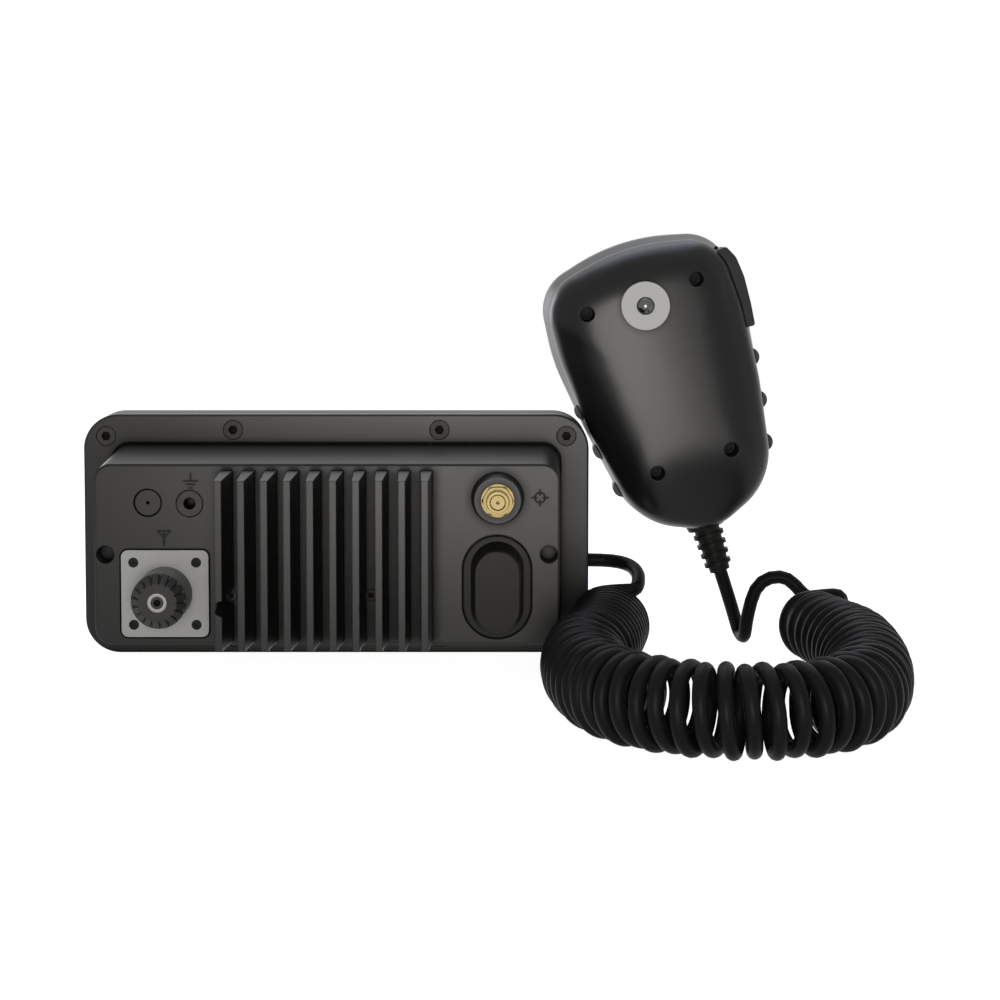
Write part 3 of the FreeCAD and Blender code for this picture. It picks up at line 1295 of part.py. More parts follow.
def coil_points():
    """Points on the helix, each turn starting at the top, a whole number of turns long."""
    line = Line()
    fine = 0.25
    steps = int(line.length / fine)
    turns = sum(fine / coil_pitch(line, (i + 0.5) * fine) for i in range(steps))
    whole = int(turns)
    loosen = turns / whole
    points = []
    s = 0.0
    for i in range(whole * COIL_STEPS + 1):
        turn = math.pi / 2 + 2 * math.pi * i / COIL_STEPS
        points.append(coil_point(line, min(s, line.length), turn))
        s += coil_pitch(line, min(s, line.length)) * loosen / COIL_STEPS
    print("curls", whole, "middle line", round(line.length, 1), "reached", round(s, 1))
    return points


def coil_gap(points):
    """The least clear distance between one curl and the next."""
    least = 1e9
    for i in range(len(points)):
        for j in range(i + COIL_STEPS // 2, min(i + 2 * COIL_STEPS, len(points))):
            least = min(least, (points[i] - points[j]).Length)
    return least - CORD_D


def coil_ends(points):
    start = (points[1] - points[0]) * 2 - (points[2] - points[0]) * 0.5
    end = (points[-1] - points[-2]) * 2 - (points[-1] - points[-3]) * 0.5
    return start.normalize(), end.normalize()


def coil_path(points):
    eighth = COIL_STEPS // 8
    start, end = coil_ends(points)
    places = list(range(0, len(points), eighth))
    tangents = []
    for i in places:
        if i == 0:
            tangents.append(start)
        elif i == len(points) - 1:
            tangents.append(end)
        else:
            tangents.append((points[i + 1] - points[i - 1]).normalize())
    edges = [Part.makeLine(points[0] - start * CORD_D, points[0])]
    for k in range(len(places) - 1):
        edges += biarc(points[places[k]], tangents[k], points[places[k + 1]], tangents[k + 1])
    edges.append(Part.makeLine(points[-1], points[-1] + end * CORD_D))
    return Part.Wire(edges)


def tube(path, radius):
    first = path.Edges[0]
    start = first.valueAt(first.FirstParameter)
    tangent = first.tangentAt(first.FirstParameter)
    ring = Part.Wire([Part.makeCircle(radius, start, tangent)])
    return path.makePipeShell([ring], True, False)


def lead_path(name, points):
    """Straight runs joined by arcs as large as their runs allow."""
    cuts = []
    radii = []
    for i in range(1, len(points) - 1):
        back = points[i - 1] - points[i]
        ahead = points[i + 1] - points[i]
        run = min(back.Length, ahead.Length)
        reach = 0.45 * run
        back.normalize()
        ahead.normalize()
        half_turn = (math.pi - back.getAngle(ahead)) / 2
        radius = reach / math.tan(half_turn)
        radii.append(round(radius, 1))
        bisector = (back + ahead).normalize()
        middle = points[i] + bisector * (radius / math.cos(half_turn) - radius)
        cuts.append((points[i] + back * reach, middle, points[i] + ahead * reach))
    edges = []
    here = points[0]
    for start, middle, end in cuts:
        edges.append(Part.makeLine(here, start))
        edges.append(Part.Arc(start, middle, end).toShape())
        here = end
    edges.append(Part.makeLine(here, points[-1]))
    print(name, "radii", radii)
    return Part.Wire(edges)


def check_volume(name, solid, path):
    ideal = math.pi * (CORD_D / 2) ** 2 * path.Length
    print(name, "length", round(path.Length, 1), "volume", round(solid.Volume, 1))
    print("  section x length", round(ideal, 1), "valid", solid.isValid())


def relief_tip():
    return MIC_PLACE.multVec(V(RELIEF_X, RELIEF_Y, RELIEF_END))


def cord_pieces():
    points = coil_points()
    print("least gap between curls", round(coil_gap(points), 2))
    start, end = coil_ends(points)
    coil_start = points[0] - start * CORD_D
    coil_end = points[-1] + end * CORD_D
    coil_wire = coil_path(points)
    coil = tube(coil_wire, CORD_D / 2)
    check_volume("cord_coil", coil, coil_wire)
    gland = V(FLANGE_W / 2, GLAND_Y, GLAND_Z)
    route = [gland, gland + V(RADIO_LEAD_FIRST_RUN, 0, 0)] + [V(*p) for p in RADIO_LEAD]
    route += [coil_start - start * RADIO_LEAD_LAST_RUN, coil_start]
    radio_wire = lead_path("cord_radio_lead", route)
    radio_lead = tube(radio_wire, CORD_D / 2)
    check_volume("cord_radio_lead", radio_lead, radio_wire)
    down = MIC_PLACE.Rotation.multVec(V(0, 0, -1))
    tip = relief_tip()
    route = [coil_end, coil_end + end * MIC_LEAD_FIRST_RUN] + [V(*p) for p in MIC_LEAD]
    route += [tip + down * MIC_LEAD_LAST_RUN, tip]
    mic_wire_path = lead_path("cord_mic_lead", route)
    mic_lead = tube(mic_wire_path, CORD_D / 2)
    check_volume("cord_mic_lead", mic_lead, mic_wire_path)
    return {"cord_coil": coil, "cord_radio_lead": radio_lead, "cord_mic_lead": mic_lead}


def radio_pieces():
    pieces = {
        "rear_chassis": rear_chassis(),
        "flange_gasket": flange_gasket(),
        "flange_screws": flange_screws(),
        "amplifier_screws": amplifier_screws(),
        "power_amplifier": power_amplifier(),
        "vent_plug": vent_plug(),
        "ground_terminal": ground_terminal(),
        "rear_port_cover": rear_port_cover(),
        "antenna_socket_body": antenna_socket_body(),
        "antenna_socket_insulator": antenna_socket_insulator(),
        "antenna_socket_contact": antenna_socket_contact(),
        "antenna_socket_screws": antenna_socket_screws(),
        "gps_socket_body": gps_socket_body(),
        "gps_socket_nut": gps_socket_nut(),
        "main_board": main_board(),
        "shield_cans": shield_cans(),
        "board_screws": board_screws(),
        "link_ribbon": link_ribbon(),
        "front_housing": front_housing(),
        "front_board": front_board(),
        "display_window": display_window(),
        "lcd_panel": group([lcd_panel(), lcd_frame()]),
        "speaker_grille": speaker_grille(),
        "loudspeaker": loudspeaker(),
        "key_switches": key_switches(),
        "distress_switch": distress_switch_block(),
        "rotary_controls": rotary_controls(),
        "channel_knob": knob(CHANNEL_KNOB),
        "volume_knob": knob(VOLUME_KNOB),
        "squelch_knob": knob(SQUELCH_KNOB),
        "distress_button": key_cap(distress_key(), DISTRESS_PROUD),
        "distress_flap": distress_flap(),
        "distress_flap_pin": distress_flap_pin(),
        "cord_gland": cord_gland(),
    }
    for i, key in enumerate(FRONT_KEYS):
        pieces["front_key_%d" % (i + 1)] = key_cap(key, KEY_PROUD)
    return pieces


def mic_pieces():
    pieces = {
        "mic_rear_shell": mic_rear_shell(),
        "mic_front_shell": mic_front_shell(),
        "mic_screws": mic_screws(),
        "hangup_button": hangup_button(),
        "hangup_screw": hangup_screw(),
        "ptt_bar": ptt_bar(),
        "ptt_pin": ptt_pin(),
        "mic_board": mic_board(),
        "mic_switches": mic_switches(),
        "mic_speaker": mic_speaker(),
        "mic_capsule": mic_capsule(),
        "grip_ribs": grip_ribs(),
        "mic_strain_relief": mic_strain_relief(),
    }
    for name, x in zip(("mic_key_left", "mic_key_middle", "mic_key_right"), MIC_KEYS):
        pieces[name] = mic_key(x)
    for name in pieces:
        pieces[name].Placement = MIC_PLACE.multiply(pieces[name].Placement)
    return pieces


def main():
    os.makedirs("parts", exist_ok=True)
    pieces = radio_pieces()
    pieces.update(mic_pieces())
    whole = FreeCAD.BoundBox()
    for shape in pieces.values():
        whole.add(shape.BoundBox)
    pieces.update(cord_pieces())
    shift = V(-(whole.XMin + whole.XMax) / 2, -(whole.YMin + whole.YMax) / 2, -whole.ZMin)
    print("shift", shift, "nodes", len(pieces))
    for name, shape in pieces.items():
        shape.translate(shift)
        if not shape.isValid():
            print("not valid:", name)
        shape.exportStep("parts/%s.step" % name)
    return pieces, shift


PIECES, SHIFT = main()
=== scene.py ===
"""A fixed marine radio seen from behind, with its fist microphone on a curly cord."""
import json
import math

import bmesh
import bpy
from mathutils import Matrix, Vector

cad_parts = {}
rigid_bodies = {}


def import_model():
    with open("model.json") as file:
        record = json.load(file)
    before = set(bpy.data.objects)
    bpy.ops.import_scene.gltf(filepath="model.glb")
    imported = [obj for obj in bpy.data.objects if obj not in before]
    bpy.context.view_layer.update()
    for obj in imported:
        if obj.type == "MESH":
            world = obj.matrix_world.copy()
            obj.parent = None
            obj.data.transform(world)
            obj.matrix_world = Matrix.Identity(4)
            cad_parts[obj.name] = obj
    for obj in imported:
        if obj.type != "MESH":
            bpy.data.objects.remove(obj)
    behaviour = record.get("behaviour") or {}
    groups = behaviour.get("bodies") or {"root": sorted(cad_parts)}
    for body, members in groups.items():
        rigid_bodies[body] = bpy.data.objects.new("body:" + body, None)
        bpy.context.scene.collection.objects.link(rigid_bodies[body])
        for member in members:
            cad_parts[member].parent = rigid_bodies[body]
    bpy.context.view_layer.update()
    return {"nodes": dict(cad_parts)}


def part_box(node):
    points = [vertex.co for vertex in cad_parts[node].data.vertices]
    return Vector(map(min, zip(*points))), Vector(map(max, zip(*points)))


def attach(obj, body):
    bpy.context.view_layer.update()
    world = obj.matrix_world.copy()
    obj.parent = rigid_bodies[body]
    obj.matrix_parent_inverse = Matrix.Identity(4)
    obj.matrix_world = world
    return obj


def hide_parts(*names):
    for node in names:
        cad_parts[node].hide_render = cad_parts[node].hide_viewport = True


for leftover in list(bpy.data.objects):
    bpy.data.objects.remove(leftover)
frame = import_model()


# ---- Camera --------------------------------------------------------------
# The radio stands with its back to a long lens, which is a little right of its middle and well
# above its top, so the fins, the sockets and the microphone's back all show.

CAMERA_PLACE = (44.9, -732.0, 131.9)
CAMERA_TILT = 4.2
LENS = 85.9
LENS_SHIFT = (0.018, -0.099)
SENSOR = 36.0

chassis_low, chassis_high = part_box("rear_chassis")
FLANGE_T = 4.0
radio_origin = Vector((
    (chassis_low.x + chassis_high.x) / 2, chassis_high.y - FLANGE_T / 1000, chassis_low.z,
))


def place(x, y, z):
    """A point given in mm from the middle of the flange's rear face, at its foot."""
    return radio_origin + Vector((x, y, z)) / 1000


def new_object(name, data):
    """Adds an object that holds the data to the scene."""
    made = bpy.data.objects.new(name, data)
    bpy.context.scene.collection.objects.link(made)
    return made


camera_data = bpy.data.cameras.new("photo_camera")
camera_data.lens = LENS
camera_data.sensor_width = SENSOR
camera_data.shift_x, camera_data.shift_y = LENS_SHIFT
camera_data.clip_start = 0.05
camera_data.clip_end = 30
camera = new_object("photo_camera", camera_data)
camera.location = place(*CAMERA_PLACE)
camera.rotation_euler = (math.radians(90 - CAMERA_TILT), 0, 0)
bpy.context.scene.camera = camera
bpy.context.scene.view_settings.view_transform = "Standard"


# ---- Studio light and floor ----------------------------------------------
# A soft lamp behind the camera draws the tall highlight on the microphone's back, a lamp far
# to the left lights its rim, and a cool one overhead lights the tops of the fins.

KEY_PLACE = (40.0, -900.0, 50.0)
STRIP_PLACE = (-400.0, 560.0, 140.0)
TOP_PLACE = (40.0, 300.0, 800.0)
LAMP_AIM = (40.0, -20.0, 45.0)
AMBIENT = "#4c4c4c"
FLOOR_REACH = 4.0
FLOOR_FRONT = -0.325
FLOOR_LEVEL = -0.0002
FLOOR_COLOUR = "#e6e6e4"
FLOOR_GLOW = 0.93


def hex_colour(code):
    """An sRGB hex colour as linear red, green and blue with full alpha."""
    parts = [int(code[i:i + 2], 16) / 255 for i in (1, 3, 5)]
    linear = [c / 12.92 if c <= 0.04045 else ((c + 0.055) / 1.055) ** 2.4 for c in parts]
    return (*linear, 1.0)


def add(tree, kind, links=None, **settings):
    """Adds a node, sets its properties, and fills or links the inputs that are named."""
    made = tree.nodes.new(kind)
    for name, value in settings.items():
        setattr(made, name, value)
    for name, value in (links or {}).items():
        socket = made.inputs[name]
        if isinstance(value, bpy.types.NodeSocket):
            tree.links.new(value, socket)
        else:
            socket.default_value = value
    return made


def lamp(name, spot, size, watts, colour, aim=LAMP_AIM):
    data = bpy.data.lights.new(name, "AREA")
    data.shape = "RECTANGLE"
    data.size, data.size_y = size
    data.energy = watts
    data.color = hex_colour(colour)[:3]
    holder = new_object(name, data)
    holder.location = place(*spot)
    holder.rotation_euler = (place(*aim) - place(*spot)).to_track_quat("-Z", "Y").to_euler()
    holder.visible_camera = False


lamp("key_lamp", KEY_PLACE, (0.3, 0.36), 6.4, "#fffcf8")
lamp("strip_lamp", STRIP_PLACE, (0.3, 0.4), 1.5, "#f4f7ff")
lamp("top_lamp", TOP_PLACE, (0.6, 0.7), 3.0, "#dfe9ff")


def seen_directly(tree):
    """1 for rays from the camera and for what gloss and glass show, 0 for the light itself."""
    rays = add(tree, "ShaderNodeLightPath")
    first = add(tree, "ShaderNodeMath", {
        0: rays.outputs["Is Camera Ray"], 1: rays.outputs["Is Glossy Ray"],
    }, operation="MAXIMUM")
    return add(tree, "ShaderNodeMath", {
        0: first.outputs[0], 1: rays.outputs["Is Transmission Ray"],
    }, operation="MAXIMUM").outputs[0]


studio = bpy.data.worlds.new("white_studio")
studio.use_nodes = True
tree = studio.node_tree
tree.nodes.clear()
room = add(tree, "ShaderNodeMix", {
    0: seen_directly(tree), 6: hex_colour(AMBIENT), 7: (1, 1, 1, 1),
}, data_type="RGBA")
sky = add(tree, "ShaderNodeBackground", {"Color": room.outputs[2]})
add(tree, "ShaderNodeOutputWorld", {"Surface": sky.outputs[0]})
bpy.context.scene.world = studio

floor_paper = bpy.data.materials.new("matt_white_paper")
floor_paper.use_nodes = True
tree = floor_paper.node_tree
tree.nodes.clear()
where = add(tree, "ShaderNodeTexCoord")
fibres = add(tree, "ShaderNodeTexNoise", {
    "Vector": where.outputs["Object"], "Scale": 900.0, "Detail": 3.0,
})
relief = add(tree, "ShaderNodeBump", {
    "Height": fibres.outputs["Fac"], "Strength": 0.1, "Distance": 0.0001,
})
sheen = add(tree, "ShaderNodeBsdfPrincipled", {
    "Base Color": hex_colour(FLOOR_COLOUR), "Roughness": 0.9, "Specular IOR Level": 0.1,
    "Normal": relief.outputs[0],
})
glow = add(tree, "ShaderNodeMath", {
    0: seen_directly(tree), 1: FLOOR_GLOW,
}, operation="MULTIPLY")
tree.links.new(glow.outputs[0], sheen.inputs["Emission Strength"])
sheen.inputs["Emission Color"].default_value = (1, 1, 1, 1)
add(tree, "ShaderNodeOutputMaterial", {"Surface": sheen.outputs[0]})

floor_mesh = bpy.data.meshes.new("studio_floor")
floor_mesh.from_pydata([
    (-FLOOR_REACH, FLOOR_FRONT, FLOOR_LEVEL), (FLOOR_REACH, FLOOR_FRONT, FLOOR_LEVEL),
    (FLOOR_REACH, FLOOR_REACH, FLOOR_LEVEL), (-FLOOR_REACH, FLOOR_REACH, FLOOR_LEVEL),
], [], [(0, 1, 2, 3)])
floor_mesh.materials.append(floor_paper)
studio_floor = new_object("studio_floor", floor_mesh)


# ---- Curly cord ----------------------------------------------------------
# A four-core cable in a black polyurethane jacket, wound on a rod and heat-set so that it
# springs back. A short plain lead joins each end of the curls, to radio or microphone.

CORD_D = 4.2
CURL_PITCH = 4.75
CURL_CLEAR = 0.55
CURL_TUCK = 1.15
CURL_TUCK_SHAPE = 0.8
CURL_OD = 24.2
CURL_END_OD = 21.4
CURL_TAPER = 60.0
CURL_STEPS = 16
COUNT_STEP = 0.25
FLOOR_GAP = 0.05
CURL_ROUTE = (
    (83.7, -18.0), (80.3, -44.8), (70.8, -86.4), (77.8, -128.9), (100.4, -148.4),
    (124.8, -147.8), (142.5, -130.4), (150.3, -91.8), (150.9, -43.5), (145.4, -11.0),
)
GLAND_EXIT = (77.8, 9.4, 27.6)
RADIO_LEAD = ((84.8, 9.4, 27.6), (90.8, 4.6, 26.9), (93.0, -3.5, 25.4), (92.6, -11.8, 23.7))
RADIO_LEAD_LAST_RUN = 3.4
MIC_LEAD_FIRST_RUN = 5.5
MIC_LEAD = (
    (156.0, -2.8, 13.8), (152.6, 4.5, 13.0), (145.6, 6.5, 16.4), (139.8, 7.5, 23.4),
    (130.8, 8.4, 21.0), (127.8, 9.2, 9.0), (127.6, 11.5, 2.4), (126.8, 22.0, 2.4),
)
MIC_LEAD_LAST_RUN = 12.5
MIC_AT = (102.4, 13.0, 83.9)
MIC_LEAN = 18.0
BOOT_TIP = (-1.9, 2.0, -62.8)


def on_mic(x, y, z):
    """A point in the microphone's own frame, in mm from the radio's origin."""
    lean = math.radians(MIC_LEAN)
    return Vector((
        MIC_AT[0] + x * math.cos(lean) - z * math.sin(lean),
        MIC_AT[1] + y,
        MIC_AT[2] + x * math.sin(lean) + z * math.cos(lean),
    ))


def evaluated_mesh(piece):
    """A new plain mesh of a curve or of a piece with modifiers."""
    bpy.context.view_layer.update()
    finished = piece.evaluated_get(bpy.context.evaluated_depsgraph_get())
    return bpy.data.meshes.new_from_object(finished)


def smooth_line(points, steps):
    """The points, in mm, along the smooth line that a route's points control."""
    line = bpy.data.curves.new("route", "CURVE")
    line.dimensions = "3D"
    spline = line.splines.new("NURBS")
    spline.points.add(len(points) - 1)
    for knot, point in zip(spline.points, points):
        knot.co = (*point, 1)
    spline.order_u = 3
    spline.use_endpoint_u = True
    spline.resolution_u = steps
    holder = new_object("route", line)
    mesh = evaluated_mesh(holder)
    found = [v.co.copy() for v in mesh.vertices]
    bpy.data.objects.remove(holder)
    bpy.data.meshes.remove(mesh)
    return found


middle_line = smooth_line([(x, y, 0.0) for x, y in CURL_ROUTE], 100)
travelled = [0.0]
for a, b in zip(middle_line, middle_line[1:]):
    travelled.append(travelled[-1] + (b - a).length)


def line_point(s):
    """The place at a distance s along the curls' middle line."""
    s = min(max(s, 0.0), travelled[-1])
    low, high = 0, len(travelled) - 1
    while high - low > 1:
        middle = (low + high) // 2
        if travelled[middle] <= s:
            low = middle
        else:
            high = middle
    share = (s - travelled[low]) / (travelled[high] - travelled[low])
    return middle_line[low].lerp(middle_line[high], share)


def line_direction(s, half=1.5):
    return (line_point(s + half) - line_point(s - half)).normalized()


def line_bend(s, half=2.5):
    """How fast the middle line turns to the left there, in radians per mm."""
    low, high = max(s - half, 0.0), min(s + half, travelled[-1])
    a, b = line_direction(low), line_direction(high)
    return math.atan2(a.x * b.y - a.y * b.x, a.dot(b)) / (high - low)


def curl_radius(s):
    share = min((travelled[-1] - s) / CURL_TAPER, 1.0)
    ease = share * share * (3 - 2 * share)
    return (CURL_END_OD + (CURL_OD - CURL_END_OD) * ease) / 2 - CORD_D / 2


def curl_pitch(s):
    inner_share = min(1 + curl_radius(s) * line_bend(s), 1.0)
    return max(CURL_PITCH, (CORD_D + CURL_CLEAR) / inner_share)


def curl_tuck(s):
    """How far every second curl tucks in on the inside of a bend, to clear its neighbours."""
    inner_pitch = curl_pitch(s) * (1 - curl_radius(s) * line_bend(s))
    return CURL_TUCK * math.sqrt(max((CORD_D + CURL_CLEAR) ** 2 - inner_pitch ** 2, 0.0))


turns = sum(
    COUNT_STEP / curl_pitch((i + 0.5) * COUNT_STEP)
    for i in range(int(travelled[-1] / COUNT_STEP))
)
curls = int(turns)
step = 2 * math.pi / CURL_STEPS
out_to_knots = 1 / (0.75 + 0.25 * math.cos(step))
helix, knots, s = [], [], 0.0
for i in range(curls * CURL_STEPS + 1):
    turn = math.pi / 2 + i * step
    radius = curl_radius(min(s, travelled[-1]))
    across = Vector((0, 0, 1)).cross(line_direction(s))
    centre = line_point(s) + Vector((0, 0, radius + CORD_D / 2 + FLOOR_GAP))
    spoke = across * math.cos(turn) + Vector((0, 0, math.sin(turn)))
    if round(turn / (2 * math.pi)) % 2:
        centre -= across * curl_tuck(s) * ((1 + math.cos(turn)) / 2) ** CURL_TUCK_SHAPE
    helix.append(centre + spoke * radius)
    knots.append(centre + spoke * radius * out_to_knots)
    s += curl_pitch(min(s, travelled[-1])) * (turns / curls) / CURL_STEPS

into_curls = ((helix[1] - helix[0]) * 2 - (helix[2] - helix[0]) * 0.5).normalized()
out_of_curls = ((helix[-1] - helix[-2]) * 2 - (helix[-1] - helix[-3]) * 0.5).normalized()
boot_tip = on_mic(*BOOT_TIP)
down_the_mic = (on_mic(0, 0, -1) - on_mic(0, 0, 0)).normalized()

route = [Vector(GLAND_EXIT)] + [Vector(p) for p in RADIO_LEAD]
route += [helix[0] - into_curls * (CORD_D + RADIO_LEAD_LAST_RUN), helix[0] - into_curls * CORD_D]
route += knots[1:-1]
route += [helix[-1] + out_of_curls * CORD_D]
route += [helix[-1] + out_of_curls * (CORD_D + MIC_LEAD_FIRST_RUN)]
route += [Vector(p) for p in MIC_LEAD]
route += [boot_tip + down_the_mic * MIC_LEAD_LAST_RUN, boot_tip]

cord_line = bpy.data.curves.new("curly_cord", "CURVE")
cord_line.dimensions = "3D"
cord_spline = cord_line.splines.new("NURBS")
cord_spline.points.add(len(route) - 1)
for knot, point in zip(cord_spline.points, route):
    knot.co = (*place(*point), 1)
cord_spline.order_u = 3
cord_spline.use_endpoint_u = True
cord_spline.resolution_u = 3
cord_line.bevel_depth = CORD_D / 2000
cord_line.bevel_resolution = 5
cord_line.use_fill_caps = True
curly_cord = new_object("curly_cord", cord_line)


def new_finish(name):
    """An empty material, with its node tree and a grain in the object's own space."""
    finish = bpy.data.materials.new(name)
    finish.use_nodes = True
    finish.node_tree.nodes.clear()
    return finish, finish.node_tree, add(finish.node_tree, "ShaderNodeTexCoord").outputs["Object"]


def dress(finish, skin, *names):
    """Ends a finish with its shader and gives it to CAD pieces."""
    add(finish.node_tree, "ShaderNodeOutputMaterial", {"Surface": skin.outputs[0]})
    for name in names:
        for slot in frame["nodes"][name].material_slots:
            slot.material = finish


# Extruded polyurethane is an even satin black, with a faint drag along the jacket and dust.
CORD_BLACK = "#100f0f"
CORD_DUSTY = "#171616"

cord_jacket, tree, grain = new_finish("extruded_polyurethane")
dust = add(tree, "ShaderNodeTexNoise", {"Vector": grain, "Scale": 120.0, "Detail": 4.0})
tint = add(tree, "ShaderNodeMix", {
    0: dust.outputs["Fac"], 6: hex_colour(CORD_BLACK), 7: hex_colour(CORD_DUSTY),
}, data_type="RGBA")
drag = add(tree, "ShaderNodeTexNoise", {"Vector": grain, "Scale": 2200.0, "Detail": 2.0})
relief = add(tree, "ShaderNodeBump", {
    "Height": drag.outputs["Fac"], "Strength": 0.12, "Distance": 0.00004,
})
gloss = add(tree, "ShaderNodeMapRange", {
    "Value": dust.outputs["Fac"], "To Min": 0.36, "To Max": 0.5,
})
skin = add(tree, "ShaderNodeBsdfPrincipled", {
    "Base Color": tint.outputs[2], "Roughness": gloss.outputs[0], "Specular IOR Level": 0.05,
    "Normal": relief.outputs[0],
})
dress(cord_jacket, skin)
cord_line.materials.append(cord_jacket)

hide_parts("cord_radio_lead", "cord_coil", "cord_mic_lead")
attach(curly_cord, "radio")


# ---- Rear casting --------------------------------------------------------
# The case is one aluminium die casting, with the heat sink's fins and the mounting flange in
# it. It is blasted, then coated with a fine black powder that is baked to a satin skin.

CORNER_SHADE = 0.003
POWDER = "#1a1918"
POWDER_LIGHT = "#1d1c1b"

powder_coat, tree, grain = new_finish("powder_coated_casting")
cloud = add(tree, "ShaderNodeTexNoise", {"Vector": grain, "Scale": 38.0, "Detail": 3.0})
tint = add(tree, "ShaderNodeMix", {
    0: cloud.outputs["Fac"], 6: hex_colour(POWDER), 7: hex_colour(POWDER_LIGHT),
}, data_type="RGBA")
peel = add(tree, "ShaderNodeTexNoise", {"Vector": grain, "Scale": 2600.0, "Detail": 2.0})
edges = add(tree, "ShaderNodeBevel", {"Radius": 0.00045}, samples=4)
relief = add(tree, "ShaderNodeBump", {
    "Height": peel.outputs["Fac"], "Strength": 0.1, "Distance": 0.00002,
    "Normal": edges.outputs[0],
})
gloss = add(tree, "ShaderNodeMapRange", {
    "Value": cloud.outputs["Fac"], "To Min": 0.3, "To Max": 0.36,
})
# Painted shade: ambient occlusion darkens the coat's colour and its specular in corners, grooves
# and recesses.
corners = add(tree, "ShaderNodeAmbientOcclusion", {
    "Color": tint.outputs[2], "Distance": CORNER_SHADE,
}, samples=6)
sheen = add(tree, "ShaderNodeMapRange", {
    "Value": corners.outputs["AO"], "From Min": 0.3, "To Max": 0.15,
})
skin = add(tree, "ShaderNodeBsdfPrincipled", {
    "Base Color": corners.outputs["Color"], "Roughness": gloss.outputs[0],
    "Specular IOR Level": sheen.outputs[0], "Normal": relief.outputs[0],
})
dress(powder_coat, skin, "rear_chassis")


# ---- Socket marks --------------------------------------------------------
# Beside its sockets the casting carries small raised marks, cast with it: an earth sign, an
# aerial and a position cross. Their near-black colour is painted shade, which sets them
# off from the powder round them.

MARK_BLACK = "#0d0d0d"
CASE_FACE = -45.3
MARK_STROKE = 0.5
MARK_SIZE = 4.4
EARTH_MARK = (-39.4, 58.4)
AERIAL_MARK = (-47.3, 41.6)
FIX_MARK = (61.7, 53.4)
MARK_SUNK = 0.06

# The marks' near-black colour is painted shade.
mark_coat, tree, grain = new_finish("mark_coat_painted_shade")
scuff = add(tree, "ShaderNodeTexNoise", {"Vector": grain, "Scale": 1800.0, "Detail": 2.0})
relief = add(tree, "ShaderNodeBump", {
    "Height": scuff.outputs["Fac"], "Strength": 0.2, "Distance": 0.00003,
})
gloss = add(tree, "ShaderNodeMapRange", {
    "Value": scuff.outputs["Fac"], "To Min": 0.4, "To Max": 0.6,
})
skin = add(tree, "ShaderNodeBsdfPrincipled", {
    "Base Color": hex_colour(MARK_BLACK), "Roughness": gloss.outputs[0],
    "Specular IOR Level": 0.2, "Normal": relief.outputs[0],
})
dress(mark_coat, skin)

half = MARK_SIZE / 2
strokes = []
x, z = EARTH_MARK
strokes += [[(x, z + half), (x, z - 0.1)], [(x - half, z - 0.1), (x + half, z - 0.1)]]
strokes += [[(x - 1.4, z - 1.1), (x + 1.4, z - 1.1)], [(x - 0.6, z - 2.1), (x + 0.6, z - 2.1)]]
x, z = AERIAL_MARK
strokes += [[(x, z - half), (x, z + half)]]
strokes += [[(x - 1.9, z + half), (x, z + 0.1), (x + 1.9, z + half)]]
strokes += [[(x - 1.9, z + half), (x + 1.9, z + half)]]
x, z = FIX_MARK
strokes += [[
    (x + 1.5 * math.cos(k * math.pi / 16), z + 1.5 * math.sin(k * math.pi / 16))
    for k in range(33)
]]
for dx, dz in ((1, 0), (-1, 0), (0, 1), (0, -1)):
    strokes += [[(x + dx * 0.7, z + dz * 0.7), (x + dx * 2.5, z + dz * 2.5)]]
mark_line = bpy.data.curves.new("socket_marks", "CURVE")
mark_line.dimensions = "3D"
for stroke in strokes:
    spline = mark_line.splines.new("POLY")
    spline.points.add(len(stroke) - 1)
    for knot, (x, z) in zip(spline.points, stroke):
        knot.co = (*place(x, CASE_FACE + MARK_SUNK, z), 1)
mark_line.bevel_depth = MARK_STROKE / 2000
mark_line.bevel_resolution = 2
mark_line.use_fill_caps = True
holder = new_object("mark_strokes", mark_line)
mark_mesh = evaluated_mesh(holder)
bpy.data.objects.remove(holder)
socket_marks = new_object("socket_marks", mark_mesh)
mark_mesh.materials.clear()
mark_mesh.materials.append(mark_coat)
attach(socket_marks, "radio")


# ---- Boards --------------------------------------------------------------
# Glass-epoxy boards under a green solder mask carry the radio, its keys and the microphone.
# The copper runs show through the mask as slightly lighter, raised lines.

MASK_GREEN = "#0e3b22"
MASK_OVER_COPPER = "#1d5a36"

solder_mask, tree, grain = new_finish("green_solder_mask")
runs = add(tree, "ShaderNodeTexBrick", {
    "Vector": grain, "Scale": 260.0, "Color1": hex_colour(MASK_GREEN),
    "Color2": hex_colour(MASK_GREEN),
    "Mortar": hex_colour(MASK_OVER_COPPER), "Mortar Size": 0.06, "Mortar Smooth": 0.2,
})
relief = add(tree, "ShaderNodeBump", {
    "Height": runs.outputs["Fac"], "Strength": 0.3, "Distance": 0.00003,
})
skin = add(tree, "ShaderNodeBsdfPrincipled", {
    "Base Color": runs.outputs["Color"], "Roughness": 0.35, "Normal": relief.outputs[0],
})
dress(solder_mask, skin, "main_board", "front_board", "mic_board")


# ---- Screening cans ------------------------------------------------------
# The cans are folded from 0.2 mm tinned steel and soldered over the radio circuits. Tin plate
# is bright and soft, with a faint rolled grain and a spangle where it cooled.

TIN = "#b9b8b4"

